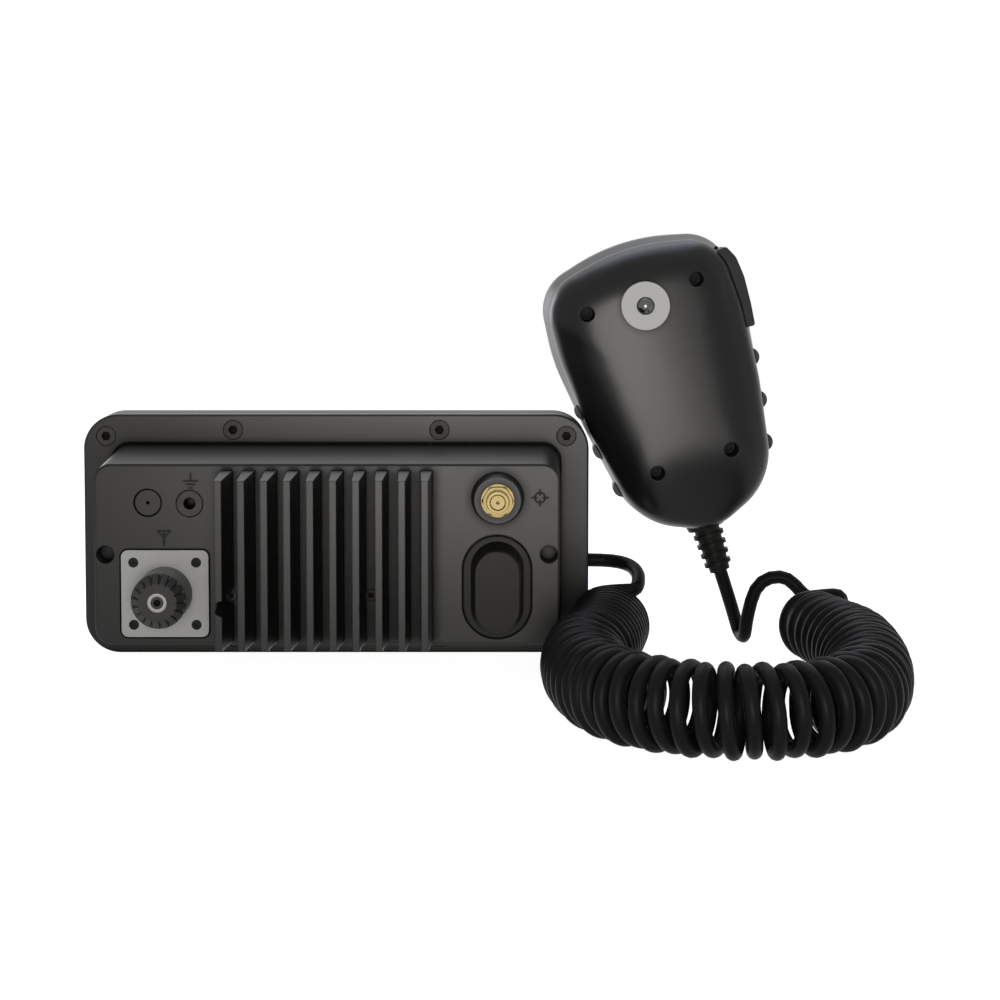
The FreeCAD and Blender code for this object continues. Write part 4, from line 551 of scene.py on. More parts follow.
tin_plate, tree, grain = new_finish("tinned_steel")
stretched = add(tree, "ShaderNodeMapping", {"Vector": grain, "Scale": (1.0, 1.0, 14.0)})
rolled = add(tree, "ShaderNodeTexNoise", {
    "Vector": stretched.outputs[0], "Scale": 500.0, "Detail": 3.0,
})
spangle = add(tree, "ShaderNodeTexVoronoi", {"Vector": grain, "Scale": 420.0})
gloss = add(tree, "ShaderNodeMapRange", {
    "Value": spangle.outputs["Distance"], "To Min": 0.25, "To Max": 0.42,
})
relief = add(tree, "ShaderNodeBump", {
    "Height": rolled.outputs["Fac"], "Strength": 0.15, "Distance": 0.00002,
})
skin = add(tree, "ShaderNodeBsdfPrincipled", {
    "Base Color": hex_colour(TIN), "Metallic": 1.0, "Roughness": gloss.outputs[0],
    "Normal": relief.outputs[0],
})
dress(tin_plate, skin, "shield_cans")


# ---- Board screws and pins -----------------------------------------------
# The screws hold the boards to the casting's posts, and the pins carry the flap and the talk
# bar. All are steel with a blue-grey zinc plate, and fine turning marks show in it.

ZINC = "#9a9da0"

zinc_plate, tree, grain = new_finish("zinc_plated_steel")
turning = add(tree, "ShaderNodeTexNoise", {"Vector": grain, "Scale": 3000.0, "Detail": 2.0})
gloss = add(tree, "ShaderNodeMapRange", {
    "Value": turning.outputs["Fac"], "To Min": 0.28, "To Max": 0.45,
})
relief = add(tree, "ShaderNodeBump", {
    "Height": turning.outputs["Fac"], "Strength": 0.1, "Distance": 0.00002,
})
skin = add(tree, "ShaderNodeBsdfPrincipled", {
    "Base Color": hex_colour(ZINC), "Metallic": 1.0, "Roughness": gloss.outputs[0],
    "Normal": relief.outputs[0],
})
dress(zinc_plate, skin, "board_screws", "distress_flap_pin", "ptt_pin")


# ---- Power amplifier and other black parts -------------------------------
# The amplifier module, the switches, the rotary controls and the loudspeakers are sold parts,
# moulded in glass-filled black epoxy or nylon with a dull, slightly mottled skin.

EPOXY = "#1a1b1c"
EPOXY_MOTTLE = "#242526"

black_epoxy, tree, grain = new_finish("glass_filled_epoxy")
mottle = add(tree, "ShaderNodeTexNoise", {"Vector": grain, "Scale": 900.0, "Detail": 4.0})
tint = add(tree, "ShaderNodeMix", {
    0: mottle.outputs["Fac"], 6: hex_colour(EPOXY), 7: hex_colour(EPOXY_MOTTLE),
}, data_type="RGBA")
relief = add(tree, "ShaderNodeBump", {
    "Height": mottle.outputs["Fac"], "Strength": 0.2, "Distance": 0.00004,
})
skin = add(tree, "ShaderNodeBsdfPrincipled", {
    "Base Color": tint.outputs[2], "Roughness": 0.6, "Specular IOR Level": 0.4,
    "Normal": relief.outputs[0],
})
dress(
    black_epoxy, skin, "power_amplifier", "key_switches", "distress_switch", "rotary_controls",
    "mic_switches", "loudspeaker", "mic_speaker", "mic_capsule",
)


# ---- Link ribbon ---------------------------------------------------------
# A flat cable of grey PVC joins the two boards. Its cores show as ridges 1.27 mm apart.

RIBBON_GREY = "#8f9093"
RIBBON_RIDGE = "#a4a5a8"
CORE_PITCH = 1.27

ribbon_pvc, tree, grain = new_finish("ribbed_ribbon_pvc")
ridges = add(tree, "ShaderNodeTexWave", {
    "Vector": grain, "Scale": 1000 / CORE_PITCH / 20 * math.pi, "Distortion": 0.0,
}, bands_direction="X")
# The lighter tone on the ridges' tops is a painted highlight.
tint = add(tree, "ShaderNodeMix", {
    0: ridges.outputs["Fac"], 6: hex_colour(RIBBON_GREY), 7: hex_colour(RIBBON_RIDGE),
}, data_type="RGBA")
relief = add(tree, "ShaderNodeBump", {
    "Height": ridges.outputs["Fac"], "Strength": 0.6, "Distance": 0.0003,
})
skin = add(tree, "ShaderNodeBsdfPrincipled", {
    "Base Color": tint.outputs[2], "Roughness": 0.5, "Normal": relief.outputs[0],
})
dress(ribbon_pvc, skin, "link_ribbon")


# ---- Flange and amplifier screws -----------------------------------------
# Eight socket-headed screws clamp the casting to the front housing, and two hold the amplifier
# between the fins. They are stainless steel blackened in hot oxide, satin and a bit uneven.

OXIDE = "#2e2d2c"
OXIDE_DEEP = "#232221"
RECESS_SHADE = 0.002

black_oxide, tree, grain = new_finish("blackened_stainless")
patches = add(tree, "ShaderNodeTexNoise", {"Vector": grain, "Scale": 700.0, "Detail": 3.0})
tint = add(tree, "ShaderNodeMix", {
    0: patches.outputs["Fac"], 6: hex_colour(OXIDE_DEEP), 7: hex_colour(OXIDE),
}, data_type="RGBA")
edges = add(tree, "ShaderNodeBevel", {"Radius": 0.0002}, samples=4)
relief = add(tree, "ShaderNodeBump", {
    "Height": patches.outputs["Fac"], "Strength": 0.1, "Distance": 0.00002,
    "Normal": edges.outputs[0],
})
# Painted shade: ambient occlusion darkens the colour towards black in the sockets and the gaps
# round the heads.
corners = add(tree, "ShaderNodeAmbientOcclusion", {
    "Color": tint.outputs[2], "Distance": RECESS_SHADE,
}, samples=6)
deep = add(tree, "ShaderNodeMath", {0: corners.outputs["AO"], 1: 2.0}, operation="POWER")
dark = add(tree, "ShaderNodeMix", {
    0: deep.outputs[0], 6: (0.001, 0.001, 0.001, 1.0), 7: corners.outputs["Color"],
}, data_type="RGBA")
skin = add(tree, "ShaderNodeBsdfPrincipled", {
    "Base Color": dark.outputs[2], "Metallic": 1.0, "Roughness": 0.5, "Normal": relief.outputs[0],
})
dress(black_oxide, skin, "flange_screws", "amplifier_screws", "ground_terminal")


# ---- Socket's and microphone's small screws ------------------------------
# Four countersunk screws sit deep in the holes of the socket's plate, and four self-tapping
# ones at the bottom of the microphone's wells. Their near-black colour is painted shade.

DEEP_BLACK = "#060606"

deep_screw, tree, grain = new_finish("screw_black_painted_shade")
soot = add(tree, "ShaderNodeTexNoise", {"Vector": grain, "Scale": 1500.0, "Detail": 2.0})
gloss = add(tree, "ShaderNodeMapRange", {
    "Value": soot.outputs["Fac"], "To Min": 0.5, "To Max": 0.7,
})
skin = add(tree, "ShaderNodeBsdfPrincipled", {
    "Base Color": hex_colour(DEEP_BLACK), "Roughness": gloss.outputs[0],
    "Specular IOR Level": 0.15,
})
dress(deep_screw, skin, "antenna_socket_screws", "mic_screws")


# ---- Antenna socket ------------------------------------------------------
# The socket is turned from brass and nickel plated, with a square plate milled on it. The
# toothed end that grips the plug is coloured dark grey and not metallic, and the rest is satin
# with a fine brushed grain.

NICKEL = "#727271"
CROWN_GREY = "#2b2a29"
CROWN_BEHIND = -59.0
SOCKET_AT = (-47.1, 25.4)

plated_nickel, tree, grain = new_finish("satin_nickel_plate")
centred = add(tree, "ShaderNodeMapping", {
    "Vector": grain, "Location": tuple(-place(SOCKET_AT[0], 0, SOCKET_AT[1])),
})
split = add(tree, "ShaderNodeSeparateXYZ", {"Vector": centred.outputs[0]})
behind = add(tree, "ShaderNodeMath", {
    0: split.outputs["Y"], 1: CROWN_BEHIND / 1000,
}, operation="LESS_THAN")
brushed = add(tree, "ShaderNodeTexNoise", {
    "Vector": centred.outputs[0], "Scale": 1600.0, "Detail": 2.0,
})
tint = add(tree, "ShaderNodeMix", {
    0: behind.outputs[0], 6: hex_colour(NICKEL), 7: hex_colour(CROWN_GREY),
}, data_type="RGBA")
gloss = add(tree, "ShaderNodeMapRange", {
    "Value": brushed.outputs["Fac"], "To Min": 0.56, "To Max": 0.64,
})
plated = add(tree, "ShaderNodeMath", {0: 1.0, 1: behind.outputs[0]}, operation="SUBTRACT")
edges = add(tree, "ShaderNodeBevel", {"Radius": 0.0002}, samples=4)
relief = add(tree, "ShaderNodeBump", {
    "Height": brushed.outputs["Fac"], "Strength": 0.06, "Distance": 0.00002,
    "Normal": edges.outputs[0],
})
skin = add(tree, "ShaderNodeBsdfPrincipled", {
    "Base Color": tint.outputs[2], "Metallic": plated.outputs[0], "Roughness": gloss.outputs[0],
    "Specular IOR Level": 0.2, "Normal": relief.outputs[0],
})
dress(plated_nickel, skin, "antenna_socket_body", "antenna_socket_contact")


# ---- Socket insulator ----------------------------------------------------
# A turned ring of white PTFE holds the centre contact. It is waxy and lets some light in.

PTFE = "#a9a8a5"

white_ptfe, tree, grain = new_finish("turned_ptfe")
waxy = add(tree, "ShaderNodeTexNoise", {"Vector": grain, "Scale": 1200.0, "Detail": 2.0})
gloss = add(tree, "ShaderNodeMapRange", {
    "Value": waxy.outputs["Fac"], "To Min": 0.6, "To Max": 0.7,
})
skin = add(tree, "ShaderNodeBsdfPrincipled", {
    "Base Color": hex_colour(PTFE), "Roughness": gloss.outputs[0], "IOR": 1.35,
    "Subsurface Weight": 0.2, "Subsurface Scale": 0.001,
})
dress(white_ptfe, skin, "antenna_socket_insulator")


# ---- Position-receiver socket --------------------------------------------
# A small threaded coaxial socket and its hexagon nut, turned from brass and flash plated with
# gold. The plate is thin, so its tone drifts a little towards the brass.

GOLD = "#7d7050"
GOLD_BRASSY = "#6b5d3b"

gold_flash, tree, grain = new_finish("gold_flashed_brass")
drift = add(tree, "ShaderNodeTexNoise", {"Vector": grain, "Scale": 500.0, "Detail": 2.0})
tint = add(tree, "ShaderNodeMix", {
    0: drift.outputs["Fac"], 6: hex_colour(GOLD), 7: hex_colour(GOLD_BRASSY),
}, data_type="RGBA")
edges = add(tree, "ShaderNodeBevel", {"Radius": 0.00015}, samples=4)
relief = add(tree, "ShaderNodeBump", {
    "Height": drift.outputs["Fac"], "Strength": 0.08, "Distance": 0.00002,
    "Normal": edges.outputs[0],
})
skin = add(tree, "ShaderNodeBsdfPrincipled", {
    "Base Color": tint.outputs[2], "Metallic": 1.0, "Roughness": 0.5, "Normal": relief.outputs[0],
})
dress(gold_flash, skin, "gps_socket_body", "gps_socket_nut")


# ---- Rubber pieces -------------------------------------------------------
# The port's push-in cover, the flange's gasket, the cord's gland and the boot under the
# microphone are moulded in black EPDM rubber, matt with a dry bloom on it. The talk bar has a
# skin of the same rubber.

RUBBER = "#191817"
RUBBER_BLOOM = "#1d1c1b"

moulded_rubber, tree, grain = new_finish("moulded_epdm_rubber")
bloom = add(tree, "ShaderNodeTexNoise", {"Vector": grain, "Scale": 70.0, "Detail": 5.0})
tint = add(tree, "ShaderNodeMix", {
    0: bloom.outputs["Fac"], 6: hex_colour(RUBBER), 7: hex_colour(RUBBER_BLOOM),
}, data_type="RGBA")
skin_grain = add(tree, "ShaderNodeTexNoise", {"Vector": grain, "Scale": 3200.0, "Detail": 2.0})
edges = add(tree, "ShaderNodeBevel", {"Radius": 0.0004}, samples=4)
relief = add(tree, "ShaderNodeBump", {
    "Height": skin_grain.outputs["Fac"], "Strength": 0.15, "Distance": 0.00003,
    "Normal": edges.outputs[0],
})
gloss = add(tree, "ShaderNodeMapRange", {
    "Value": bloom.outputs["Fac"], "To Min": 0.32, "To Max": 0.4,
})
skin = add(tree, "ShaderNodeBsdfPrincipled", {
    "Base Color": tint.outputs[2], "Roughness": gloss.outputs[0], "Specular IOR Level": 0.07,
    "Normal": relief.outputs[0],
})
dress(
    moulded_rubber, skin, "rear_port_cover", "flange_gasket", "cord_gland", "mic_strain_relief",
    "ptt_bar",
)


# ---- Pressure vent -------------------------------------------------------
# A snap-in nylon plug with a pinhole over a membrane lets the sealed case breathe.

NYLON = "#1f1e1d"

vent_nylon, tree, grain = new_finish("black_nylon")
fibre = add(tree, "ShaderNodeTexNoise", {"Vector": grain, "Scale": 1400.0, "Detail": 3.0})
gloss = add(tree, "ShaderNodeMapRange", {
    "Value": fibre.outputs["Fac"], "To Min": 0.32, "To Max": 0.4,
})
edges = add(tree, "ShaderNodeBevel", {"Radius": 0.0002}, samples=4)
relief = add(tree, "ShaderNodeBump", {
    "Height": fibre.outputs["Fac"], "Strength": 0.12, "Distance": 0.00003,
    "Normal": edges.outputs[0],
})
skin = add(tree, "ShaderNodeBsdfPrincipled", {
    "Base Color": hex_colour(NYLON), "Roughness": gloss.outputs[0], "Specular IOR Level": 0.14,
    "Normal": relief.outputs[0],
})
dress(vent_nylon, skin, "vent_plug")


# ---- Front housing -------------------------------------------------------
# The front is moulded in a black blend of polycarbonate and ABS with a fine texture, and it
# screws to the casting through the flange.

BLEND_BLACK = "#201f1f"
BLEND_LIGHT = "#272625"

moulded_blend, tree, grain = new_finish("textured_pc_abs")
flow = add(tree, "ShaderNodeTexNoise", {"Vector": grain, "Scale": 30.0, "Detail": 3.0})
tint = add(tree, "ShaderNodeMix", {
    0: flow.outputs["Fac"], 6: hex_colour(BLEND_BLACK), 7: hex_colour(BLEND_LIGHT),
}, data_type="RGBA")
pits = add(tree, "ShaderNodeTexNoise", {"Vector": grain, "Scale": 3600.0, "Detail": 2.0})
edges = add(tree, "ShaderNodeBevel", {"Radius": 0.0004}, samples=4)
relief = add(tree, "ShaderNodeBump", {
    "Height": pits.outputs["Fac"], "Strength": 0.15, "Distance": 0.00003,
    "Normal": edges.outputs[0],
})
gloss = add(tree, "ShaderNodeMapRange", {
    "Value": flow.outputs["Fac"], "To Min": 0.45, "To Max": 0.55,
})
skin = add(tree, "ShaderNodeBsdfPrincipled", {
    "Base Color": tint.outputs[2], "Roughness": gloss.outputs[0], "Specular IOR Level": 0.35,
    "Normal": relief.outputs[0],
})
dress(moulded_blend, skin, "front_housing", "speaker_grille")


# ---- Display -------------------------------------------------------------
# A reflective liquid-crystal panel sits in a frame behind the window. Unlit, it is a grey green
# glass with a faint grid of pixels, 0.4 mm apart.

LCD_GREEN = "#8b9a7c"
LCD_GRID = "#7f8e72"
PIXEL = 0.4

lcd_glass, tree, grain = new_finish("unlit_lcd_glass")
pixels = add(tree, "ShaderNodeTexBrick", {
    "Vector": grain, "Scale": 1000 / PIXEL, "Color1": hex_colour(LCD_GREEN),
    "Color2": hex_colour(LCD_GREEN),
    "Mortar": hex_colour(LCD_GRID), "Mortar Size": 0.12, "Brick Width": 1.0, "Row Height": 1.0,
}, offset=0.0)
skin = add(tree, "ShaderNodeBsdfPrincipled", {
    "Base Color": pixels.outputs["Color"], "Roughness": 0.3, "Coat Weight": 0.6,
    "Coat Roughness": 0.05,
})
dress(lcd_glass, skin, "lcd_panel")


# ---- Display window ------------------------------------------------------
# A clear acrylic sheet with a hard coat is bonded into its recess. Handling leaves faint smears.

WINDOW_TINT = "#dfe3e4"

clear_acrylic, tree, grain = new_finish("hard_coated_acrylic")
smear = add(tree, "ShaderNodeTexNoise", {
    "Vector": grain, "Scale": 60.0, "Detail": 4.0, "Distortion": 1.0,
})
gloss = add(tree, "ShaderNodeMapRange", {
    "Value": smear.outputs["Fac"], "To Min": 0.01, "To Max": 0.08,
})
skin = add(tree, "ShaderNodeBsdfPrincipled", {
    "Base Color": hex_colour(WINDOW_TINT), "Roughness": gloss.outputs[0], "IOR": 1.49,
    "Transmission Weight": 1.0,
})
dress(clear_acrylic, skin, "display_window")


# ---- Keys ----------------------------------------------------------------
# The six keys in front and the three on the microphone are caps of dark grey silicone rubber
# with a matt, slightly dusty touch.

KEY_GREY = "#3a3b3d"
KEY_DUST = "#434446"

silicone, tree, grain = new_finish("grey_silicone_rubber")
dusty = add(tree, "ShaderNodeTexNoise", {"Vector": grain, "Scale": 260.0, "Detail": 4.0})
tint = add(tree, "ShaderNodeMix", {
    0: dusty.outputs["Fac"], 6: hex_colour(KEY_GREY), 7: hex_colour(KEY_DUST),
}, data_type="RGBA")
edges = add(tree, "ShaderNodeBevel", {"Radius": 0.0005}, samples=4)
relief = add(tree, "ShaderNodeBump", {
    "Height": dusty.outputs["Fac"], "Strength": 0.08, "Distance": 0.00004,
    "Normal": edges.outputs[0],
})
skin = add(tree, "ShaderNodeBsdfPrincipled", {
    "Base Color": tint.outputs[2], "Roughness": 0.62, "Specular IOR Level": 0.3,
    "Normal": relief.outputs[0],
})
dress(
    silicone, skin, "front_key_1", "front_key_2", "front_key_3", "front_key_4", "front_key_5",
    "front_key_6", "mic_key_left", "mic_key_middle", "mic_key_right",
)


# ---- Knobs ---------------------------------------------------------------
# The three knobs are ABS with a soft-touch paint, which is very even and matt.

SOFT_BLACK = "#1b1b1c"

soft_touch, tree, grain = new_finish("soft_touch_paint")
nap = add(tree, "ShaderNodeTexNoise", {"Vector": grain, "Scale": 2400.0, "Detail": 2.0})
edges = add(tree, "ShaderNodeBevel", {"Radius": 0.0003}, samples=4)
relief = add(tree, "ShaderNodeBump", {
    "Height": nap.outputs["Fac"], "Strength": 0.1, "Distance": 0.00003,
    "Normal": edges.outputs[0],
})
gloss = add(tree, "ShaderNodeMapRange", {
    "Value": nap.outputs["Fac"], "To Min": 0.6, "To Max": 0.72,
})
skin = add(tree, "ShaderNodeBsdfPrincipled", {
    "Base Color": hex_colour(SOFT_BLACK), "Roughness": gloss.outputs[0],
    "Specular IOR Level": 0.3, "Sheen Weight": 0.1, "Normal": relief.outputs[0],
})
dress(soft_touch, skin, "channel_knob", "volume_knob", "squelch_knob")


# ---- Dial scales and key signs -------------------------------------------
# Ticks printed in thick white ink stand round each knob, and the slot in each knob's face is
# filled with the same ink. The keys carry plain signs in it, raised a tenth of a millimetre.

INK_WHITE = "#d0cfca"
FRONT_FACE = 19.7
KEY_FACE = 21.0
INK_STROKE = 0.4
INK_LIFT = 0.24
TICK = 0.7
TICK_OUT = 0.8
SLOT_START = 0.33
SLOT_RIM = 2.5
SLOT_MIDDLE = 0.385
SLOT_FILL = (1.04, 0.53)
KNOB_DIALS = (
    ("channel_dial", -53.5, 48.0, 10.5, 33.2, 17, 20.0),
    ("volume_dial", -41.5, 20.0, 6.6, 30.7, 11, 28.0),
    ("squelch_dial", -57.5, 20.0, 6.6, 30.7, 11, 28.0),
)
KEY_SIGNS = (
    ("key_1", 18.0, 28.0, 0.7, 1.4, 0.4, 4, 0.0),
    ("key_2", 4.0, 28.0, 0.7, 1.4, 0.4, 2, 90.0),
    ("key_3", -10.0, 28.0, 0.6, 0.4, 2.4, 3, 180.0),
    ("key_4", -24.0, 28.0, 0.6, 0.4, 2.4, 3, 0.0),
    ("key_5", 8.0, 17.0, 1.5, 0.4, 0.6, 20, 0.0),
    ("key_6", -14.0, 17.0, 1.3, 0.4, 3.0, 4, 0.0),
)

pad_ink, tree, grain = new_finish("thick_white_pad_ink")
wear = add(tree, "ShaderNodeTexNoise", {"Vector": grain, "Scale": 900.0, "Detail": 3.0})
relief = add(tree, "ShaderNodeBump", {
    "Height": wear.outputs["Fac"], "Strength": 0.15, "Distance": 0.00002,
})
gloss = add(tree, "ShaderNodeMapRange", {
    "Value": wear.outputs["Fac"], "To Min": 0.4, "To Max": 0.6,
})
skin = add(tree, "ShaderNodeBsdfPrincipled", {
    "Base Color": hex_colour(INK_WHITE), "Roughness": gloss.outputs[0],
    "Normal": relief.outputs[0],
})
dress(pad_ink, skin)

bar_ring = bpy.data.node_groups.new("ring_of_bars", "GeometryNodeTree")
bar_sockets = {}
for label, kind in (
    ("Bars", "Int"), ("Middle", "Vector"), ("Radius", "Float"), ("First", "Float"),
    ("Step", "Float"), ("Size", "Vector"), ("Ink", "Material"),
):
    bar_sockets[label] = bar_ring.interface.new_socket(
        label, in_out="INPUT", socket_type="NodeSocket" + kind,
    ).identifier
bar_ring.interface.new_socket("Geometry", in_out="OUTPUT", socket_type="NodeSocketGeometry")
given = add(bar_ring, "NodeGroupInput").outputs
line = add(bar_ring, "GeometryNodeMeshLine", {"Count": given["Bars"], "Offset": (0, 0, 0)})
bar = add(bar_ring, "GeometryNodeMeshCube", {"Size": given["Size"]})
reach = add(bar_ring, "ShaderNodeCombineXYZ", {"Z": given["Radius"]})
placed = add(bar_ring, "GeometryNodeTransform", {
    "Geometry": bar.outputs["Mesh"], "Translation": reach.outputs[0],
})
count = add(bar_ring, "GeometryNodeInputIndex")
turn = add(bar_ring, "ShaderNodeMath", {
    0: count.outputs[0], 1: given["Step"], 2: given["First"],
}, operation="MULTIPLY_ADD")
spin = add(bar_ring, "ShaderNodeCombineXYZ", {"Y": turn.outputs[0]})
bars = add(bar_ring, "GeometryNodeInstanceOnPoints", {
    "Points": line.outputs["Mesh"], "Instance": placed.outputs["Geometry"],
    "Rotation": spin.outputs[0],
})
moved = add(bar_ring, "GeometryNodeTransform", {
    "Geometry": bars.outputs["Instances"], "Translation": given["Middle"],
})
real = add(bar_ring, "GeometryNodeRealizeInstances", {"Geometry": moved.outputs["Geometry"]})
inked = add(bar_ring, "GeometryNodeSetMaterial", {
    "Geometry": real.outputs["Geometry"], "Material": given["Ink"],
})
add(bar_ring, "NodeGroupOutput", {"Geometry": inked.outputs["Geometry"]})


def made_plain(piece):
    """Applies a piece's modifiers, which leaves it a plain mesh."""
    data = evaluated_mesh(piece)
    piece.modifiers.clear()
    piece.data = data
    data.name = piece.name


def ink_marks(name, body, middle, radius, size, bars=1, first=0.0, step=0.0):
    """Bars of ink set in a ring and turned about the front's depth, in mm and degrees."""
    piece = new_object(name, bpy.data.meshes.new(name))
    ring = piece.modifiers.new("bars", "NODES")
    ring.node_group = bar_ring
    for label, value in (
        ("Bars", bars), ("Middle", place(*middle)), ("Radius", radius / 1000),
        ("First", math.radians(first)), ("Step", math.radians(step)),
        ("Size", Vector(size) / 1000), ("Ink", pad_ink),
    ):
        ring[bar_sockets[label]] = value
    made_plain(piece)
    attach(piece, body)


for dial, x, z, knob_r, top, ticks, step in KNOB_DIALS:
    name = dial.split("_")[0]
    ink_marks(
        name + "_scale", "radio", (x, FRONT_FACE, z), knob_r + TICK_OUT,
        (INK_STROKE, INK_LIFT, TICK), ticks, -step * (ticks - 1) / 2, step,
    )
    inner, outer = knob_r * SLOT_START, knob_r - SLOT_RIM
    ink_marks(
        name + "_pointer", dial, (x, top - SLOT_MIDDLE, z), (inner + outer) / 2,
        (*SLOT_FILL, outer - inner),
    )
for key, x, z, radius, tall, wide, bars, first in KEY_SIGNS:
    ink_marks(
        key + "_sign", key, (x, KEY_FACE, z), radius, (wide, INK_LIFT, tall), bars, first,
        360 / bars,
    )


# ---- Distress button and flap --------------------------------------------
# The button is glossy red ABS. The flap that guards it is tinted polycarbonate, which lets the
# button show through.

SIGNAL_RED = "#b3161a"
FLAP_RED = "#d4484a"

red_abs, tree, grain = new_finish("glossy_red_abs")
ripple = add(tree, "ShaderNodeTexNoise", {"Vector": grain, "Scale": 300.0, "Detail": 2.0})
gloss = add(tree, "ShaderNodeMapRange", {
    "Value": ripple.outputs["Fac"], "To Min": 0.18, "To Max": 0.3,
})
skin = add(tree, "ShaderNodeBsdfPrincipled", {
    "Base Color": hex_colour(SIGNAL_RED), "Roughness": gloss.outputs[0],
})
dress(red_abs, skin, "distress_button")

tinted_flap, tree, grain = new_finish("tinted_polycarbonate")
haze = add(tree, "ShaderNodeTexNoise", {"Vector": grain, "Scale": 400.0, "Detail": 3.0})
gloss = add(tree, "ShaderNodeMapRange", {
    "Value": haze.outputs["Fac"], "To Min": 0.08, "To Max": 0.2,
})
skin = add(tree, "ShaderNodeBsdfPrincipled", {
    "Base Color": hex_colour(FLAP_RED), "Roughness": gloss.outputs[0], "IOR": 1.58,
    "Transmission Weight": 0.85,
})
dress(tinted_flap, skin, "distress_flap")


# ---- Microphone back shell -----------------------------------------------
# The fist microphone's back is an injection-moulded ABS shell with a fine spark-eroded
# texture. It is crowned across the hand, slopes away at both ends, and four screws hold it.

BACK_CORNERS = (
    (0.0, 44.3), (28.9, 37.7), (29.9, 16.0), (27.9, -8.0), (22.4, -40.0), (0.0, -49.7),
)
BACK_RADII = (60.0, 14.0, 60.0, 100.0, 22.0, 17.0)
BACK_DEPTH = 15.3
BACK_CROWN = 2.2
BACK_ROUND = 28.0
EDGE_ROUND = 16.0
EDGE_POWER = 2.6
CROWN_HALF = 27.0
CROWN_EDGE = 4.0
TOP_SLOPE = (33.6, 0.5)
FOOT_SLOPE = (-26.5, 0.3)
BACK_SEAM = 0.075
BACK_WALL = 2.2
SCREW_PLACES = ((17.55, 27.65), (-17.55, 27.65), (11.9, -25.6), (-11.9, -25.6))
WELL_R = 2.3
WELL_FLOOR = 2.4
COLUMN_R = 3.6
COLUMN_SUNK = 1.0
WELL_INSET = 10.0
CUT_PAST = 2.0
STUD_FLOOR = 8.0
SHARP_ANGLE = 32.0
CREASE = 2.2
STUD_HOLE = (0.0, 24.9, 1.85)
TALK_WINDOW = (22.1, 35.6, 7.65, 34.65, -5.35, 9.35)
AROUND = 180
EASE = 6


def rounded_loop(corners, radii, count):
    """Evenly spaced points round a closed outline whose corners are rounded, from its top."""
    path = []
    total = len(corners)
    for i in range(total):
        here = Vector(corners[i])
        back = (Vector(corners[i - 1]) - here).normalized()
        ahead = (Vector(corners[(i + 1) % total]) - here).normalized()
        half = back.angle(ahead) / 2
        reach = radii[i] / math.tan(half)
        centre = here + (back + ahead).normalized() * (radii[i] / math.sin(half))
        first = here + back * reach - centre
        sweep = first.angle_signed(here + ahead * reach - centre)
        for k in range(25):
            path.append(centre + Matrix.Rotation(-sweep * k / 24, 2) @ first)
    start = max(range(len(path)), key=lambda k: path[k].y - abs(path[k].x) * 0.001)
    path = path[start:] + path[:start] + [path[start]]
    run = [0.0]
    for a, b in zip(path, path[1:]):
        run.append(run[-1] + (b - a).length)
    loop, k = [], 0
    for i in range(count):
        want = run[-1] * i / count
        while run[k + 1] < want:
            k += 1
        loop.append(path[k].lerp(path[k + 1], (want - run[k]) / max(run[k + 1] - run[k], 1e-9)))
    return loop


def mirrored(corners, radii):
    """The whole outline from its right half, whose first and last corners lie on the middle."""
    left = [(-x, z) for x, z in reversed(corners[1:-1])]
    return list(corners) + left, list(radii) + list(reversed(radii[1:-1]))


def soft_lower(a, b, blend):
    """The lower of two heights, eased over a crease of the given width."""
    near = max(blend - abs(a - b), 0.0) / blend
    return min(a, b) - near * near * blend / 4


def back_height(x, z, inset):
    """How far the back stands behind the seam at a place in the microphone's outline."""
    edge = max(1 - inset / EDGE_ROUND, 0.0)
    height = BACK_DEPTH * (1 - edge ** EDGE_POWER) ** (1 / EDGE_POWER)
    height -= BACK_CROWN * (x / CROWN_HALF) ** 2 * min(inset / CROWN_EDGE, 1.0)
    top = BACK_DEPTH - TOP_SLOPE[1] * (z - TOP_SLOPE[0])
    foot = BACK_DEPTH - FOOT_SLOPE[1] * (FOOT_SLOPE[0] - z)
    return max(soft_lower(soft_lower(height, top, CREASE), foot, CREASE), 0.0)


loop = rounded_loop(*mirrored(BACK_CORNERS, BACK_RADII), AROUND)
normals = []
for i in range(AROUND):
    along = loop[(i + 1) % AROUND] - loop[i - 1]
    normals.append(Vector((-along.y, along.x)).normalized())
    if normals[-1].dot(loop[i]) < 0:
        normals[-1].negate()
normals = [
    sum((normals[(i + k) % AROUND] for k in range(-EASE, EASE + 1)), Vector((0, 0))).normalized()
    for i in range(AROUND)
]
insets = (
    0.0, 0.08, 0.2, 0.4, 0.7, 1.1, 1.6, 2.3, 3.2, 4.3, 5.6, 7.0, 8.6, 10.4, 12.4, 14.6, 17.0,
    19.6, 22.4, 25.2,
)
back_mesh = bmesh.new()
rings = []
for inset in insets:
    share = 1 - inset / BACK_ROUND
    ring = []
    for point, normal in zip(loop, normals):
        flat = point * share
        depth = back_height(flat.x, flat.y, (point - flat).dot(normal))
        ring.append(back_mesh.verts.new(place(*on_mic(flat.x, -max(depth, BACK_SEAM), flat.y))))
    rings.append(ring)
for outer, inner in zip(rings, rings[1:]):
    for i in range(AROUND):
        j = (i + 1) % AROUND
        back_mesh.faces.new((outer[i], outer[j], inner[j], inner[i]))
hub = back_mesh.verts.new(place(*on_mic(0, -back_height(0, 0, BACK_ROUND), 0)))
for i in range(AROUND):
    back_mesh.faces.new((rings[-1][i], rings[-1][(i + 1) % AROUND], hub))
bmesh.ops.recalc_face_normals(back_mesh, faces=back_mesh.faces)
behind = sum((face.normal * face.calc_area() for face in back_mesh.faces), Vector())
if behind.y > 0:
    bmesh.ops.reverse_faces(back_mesh, faces=back_mesh.faces)


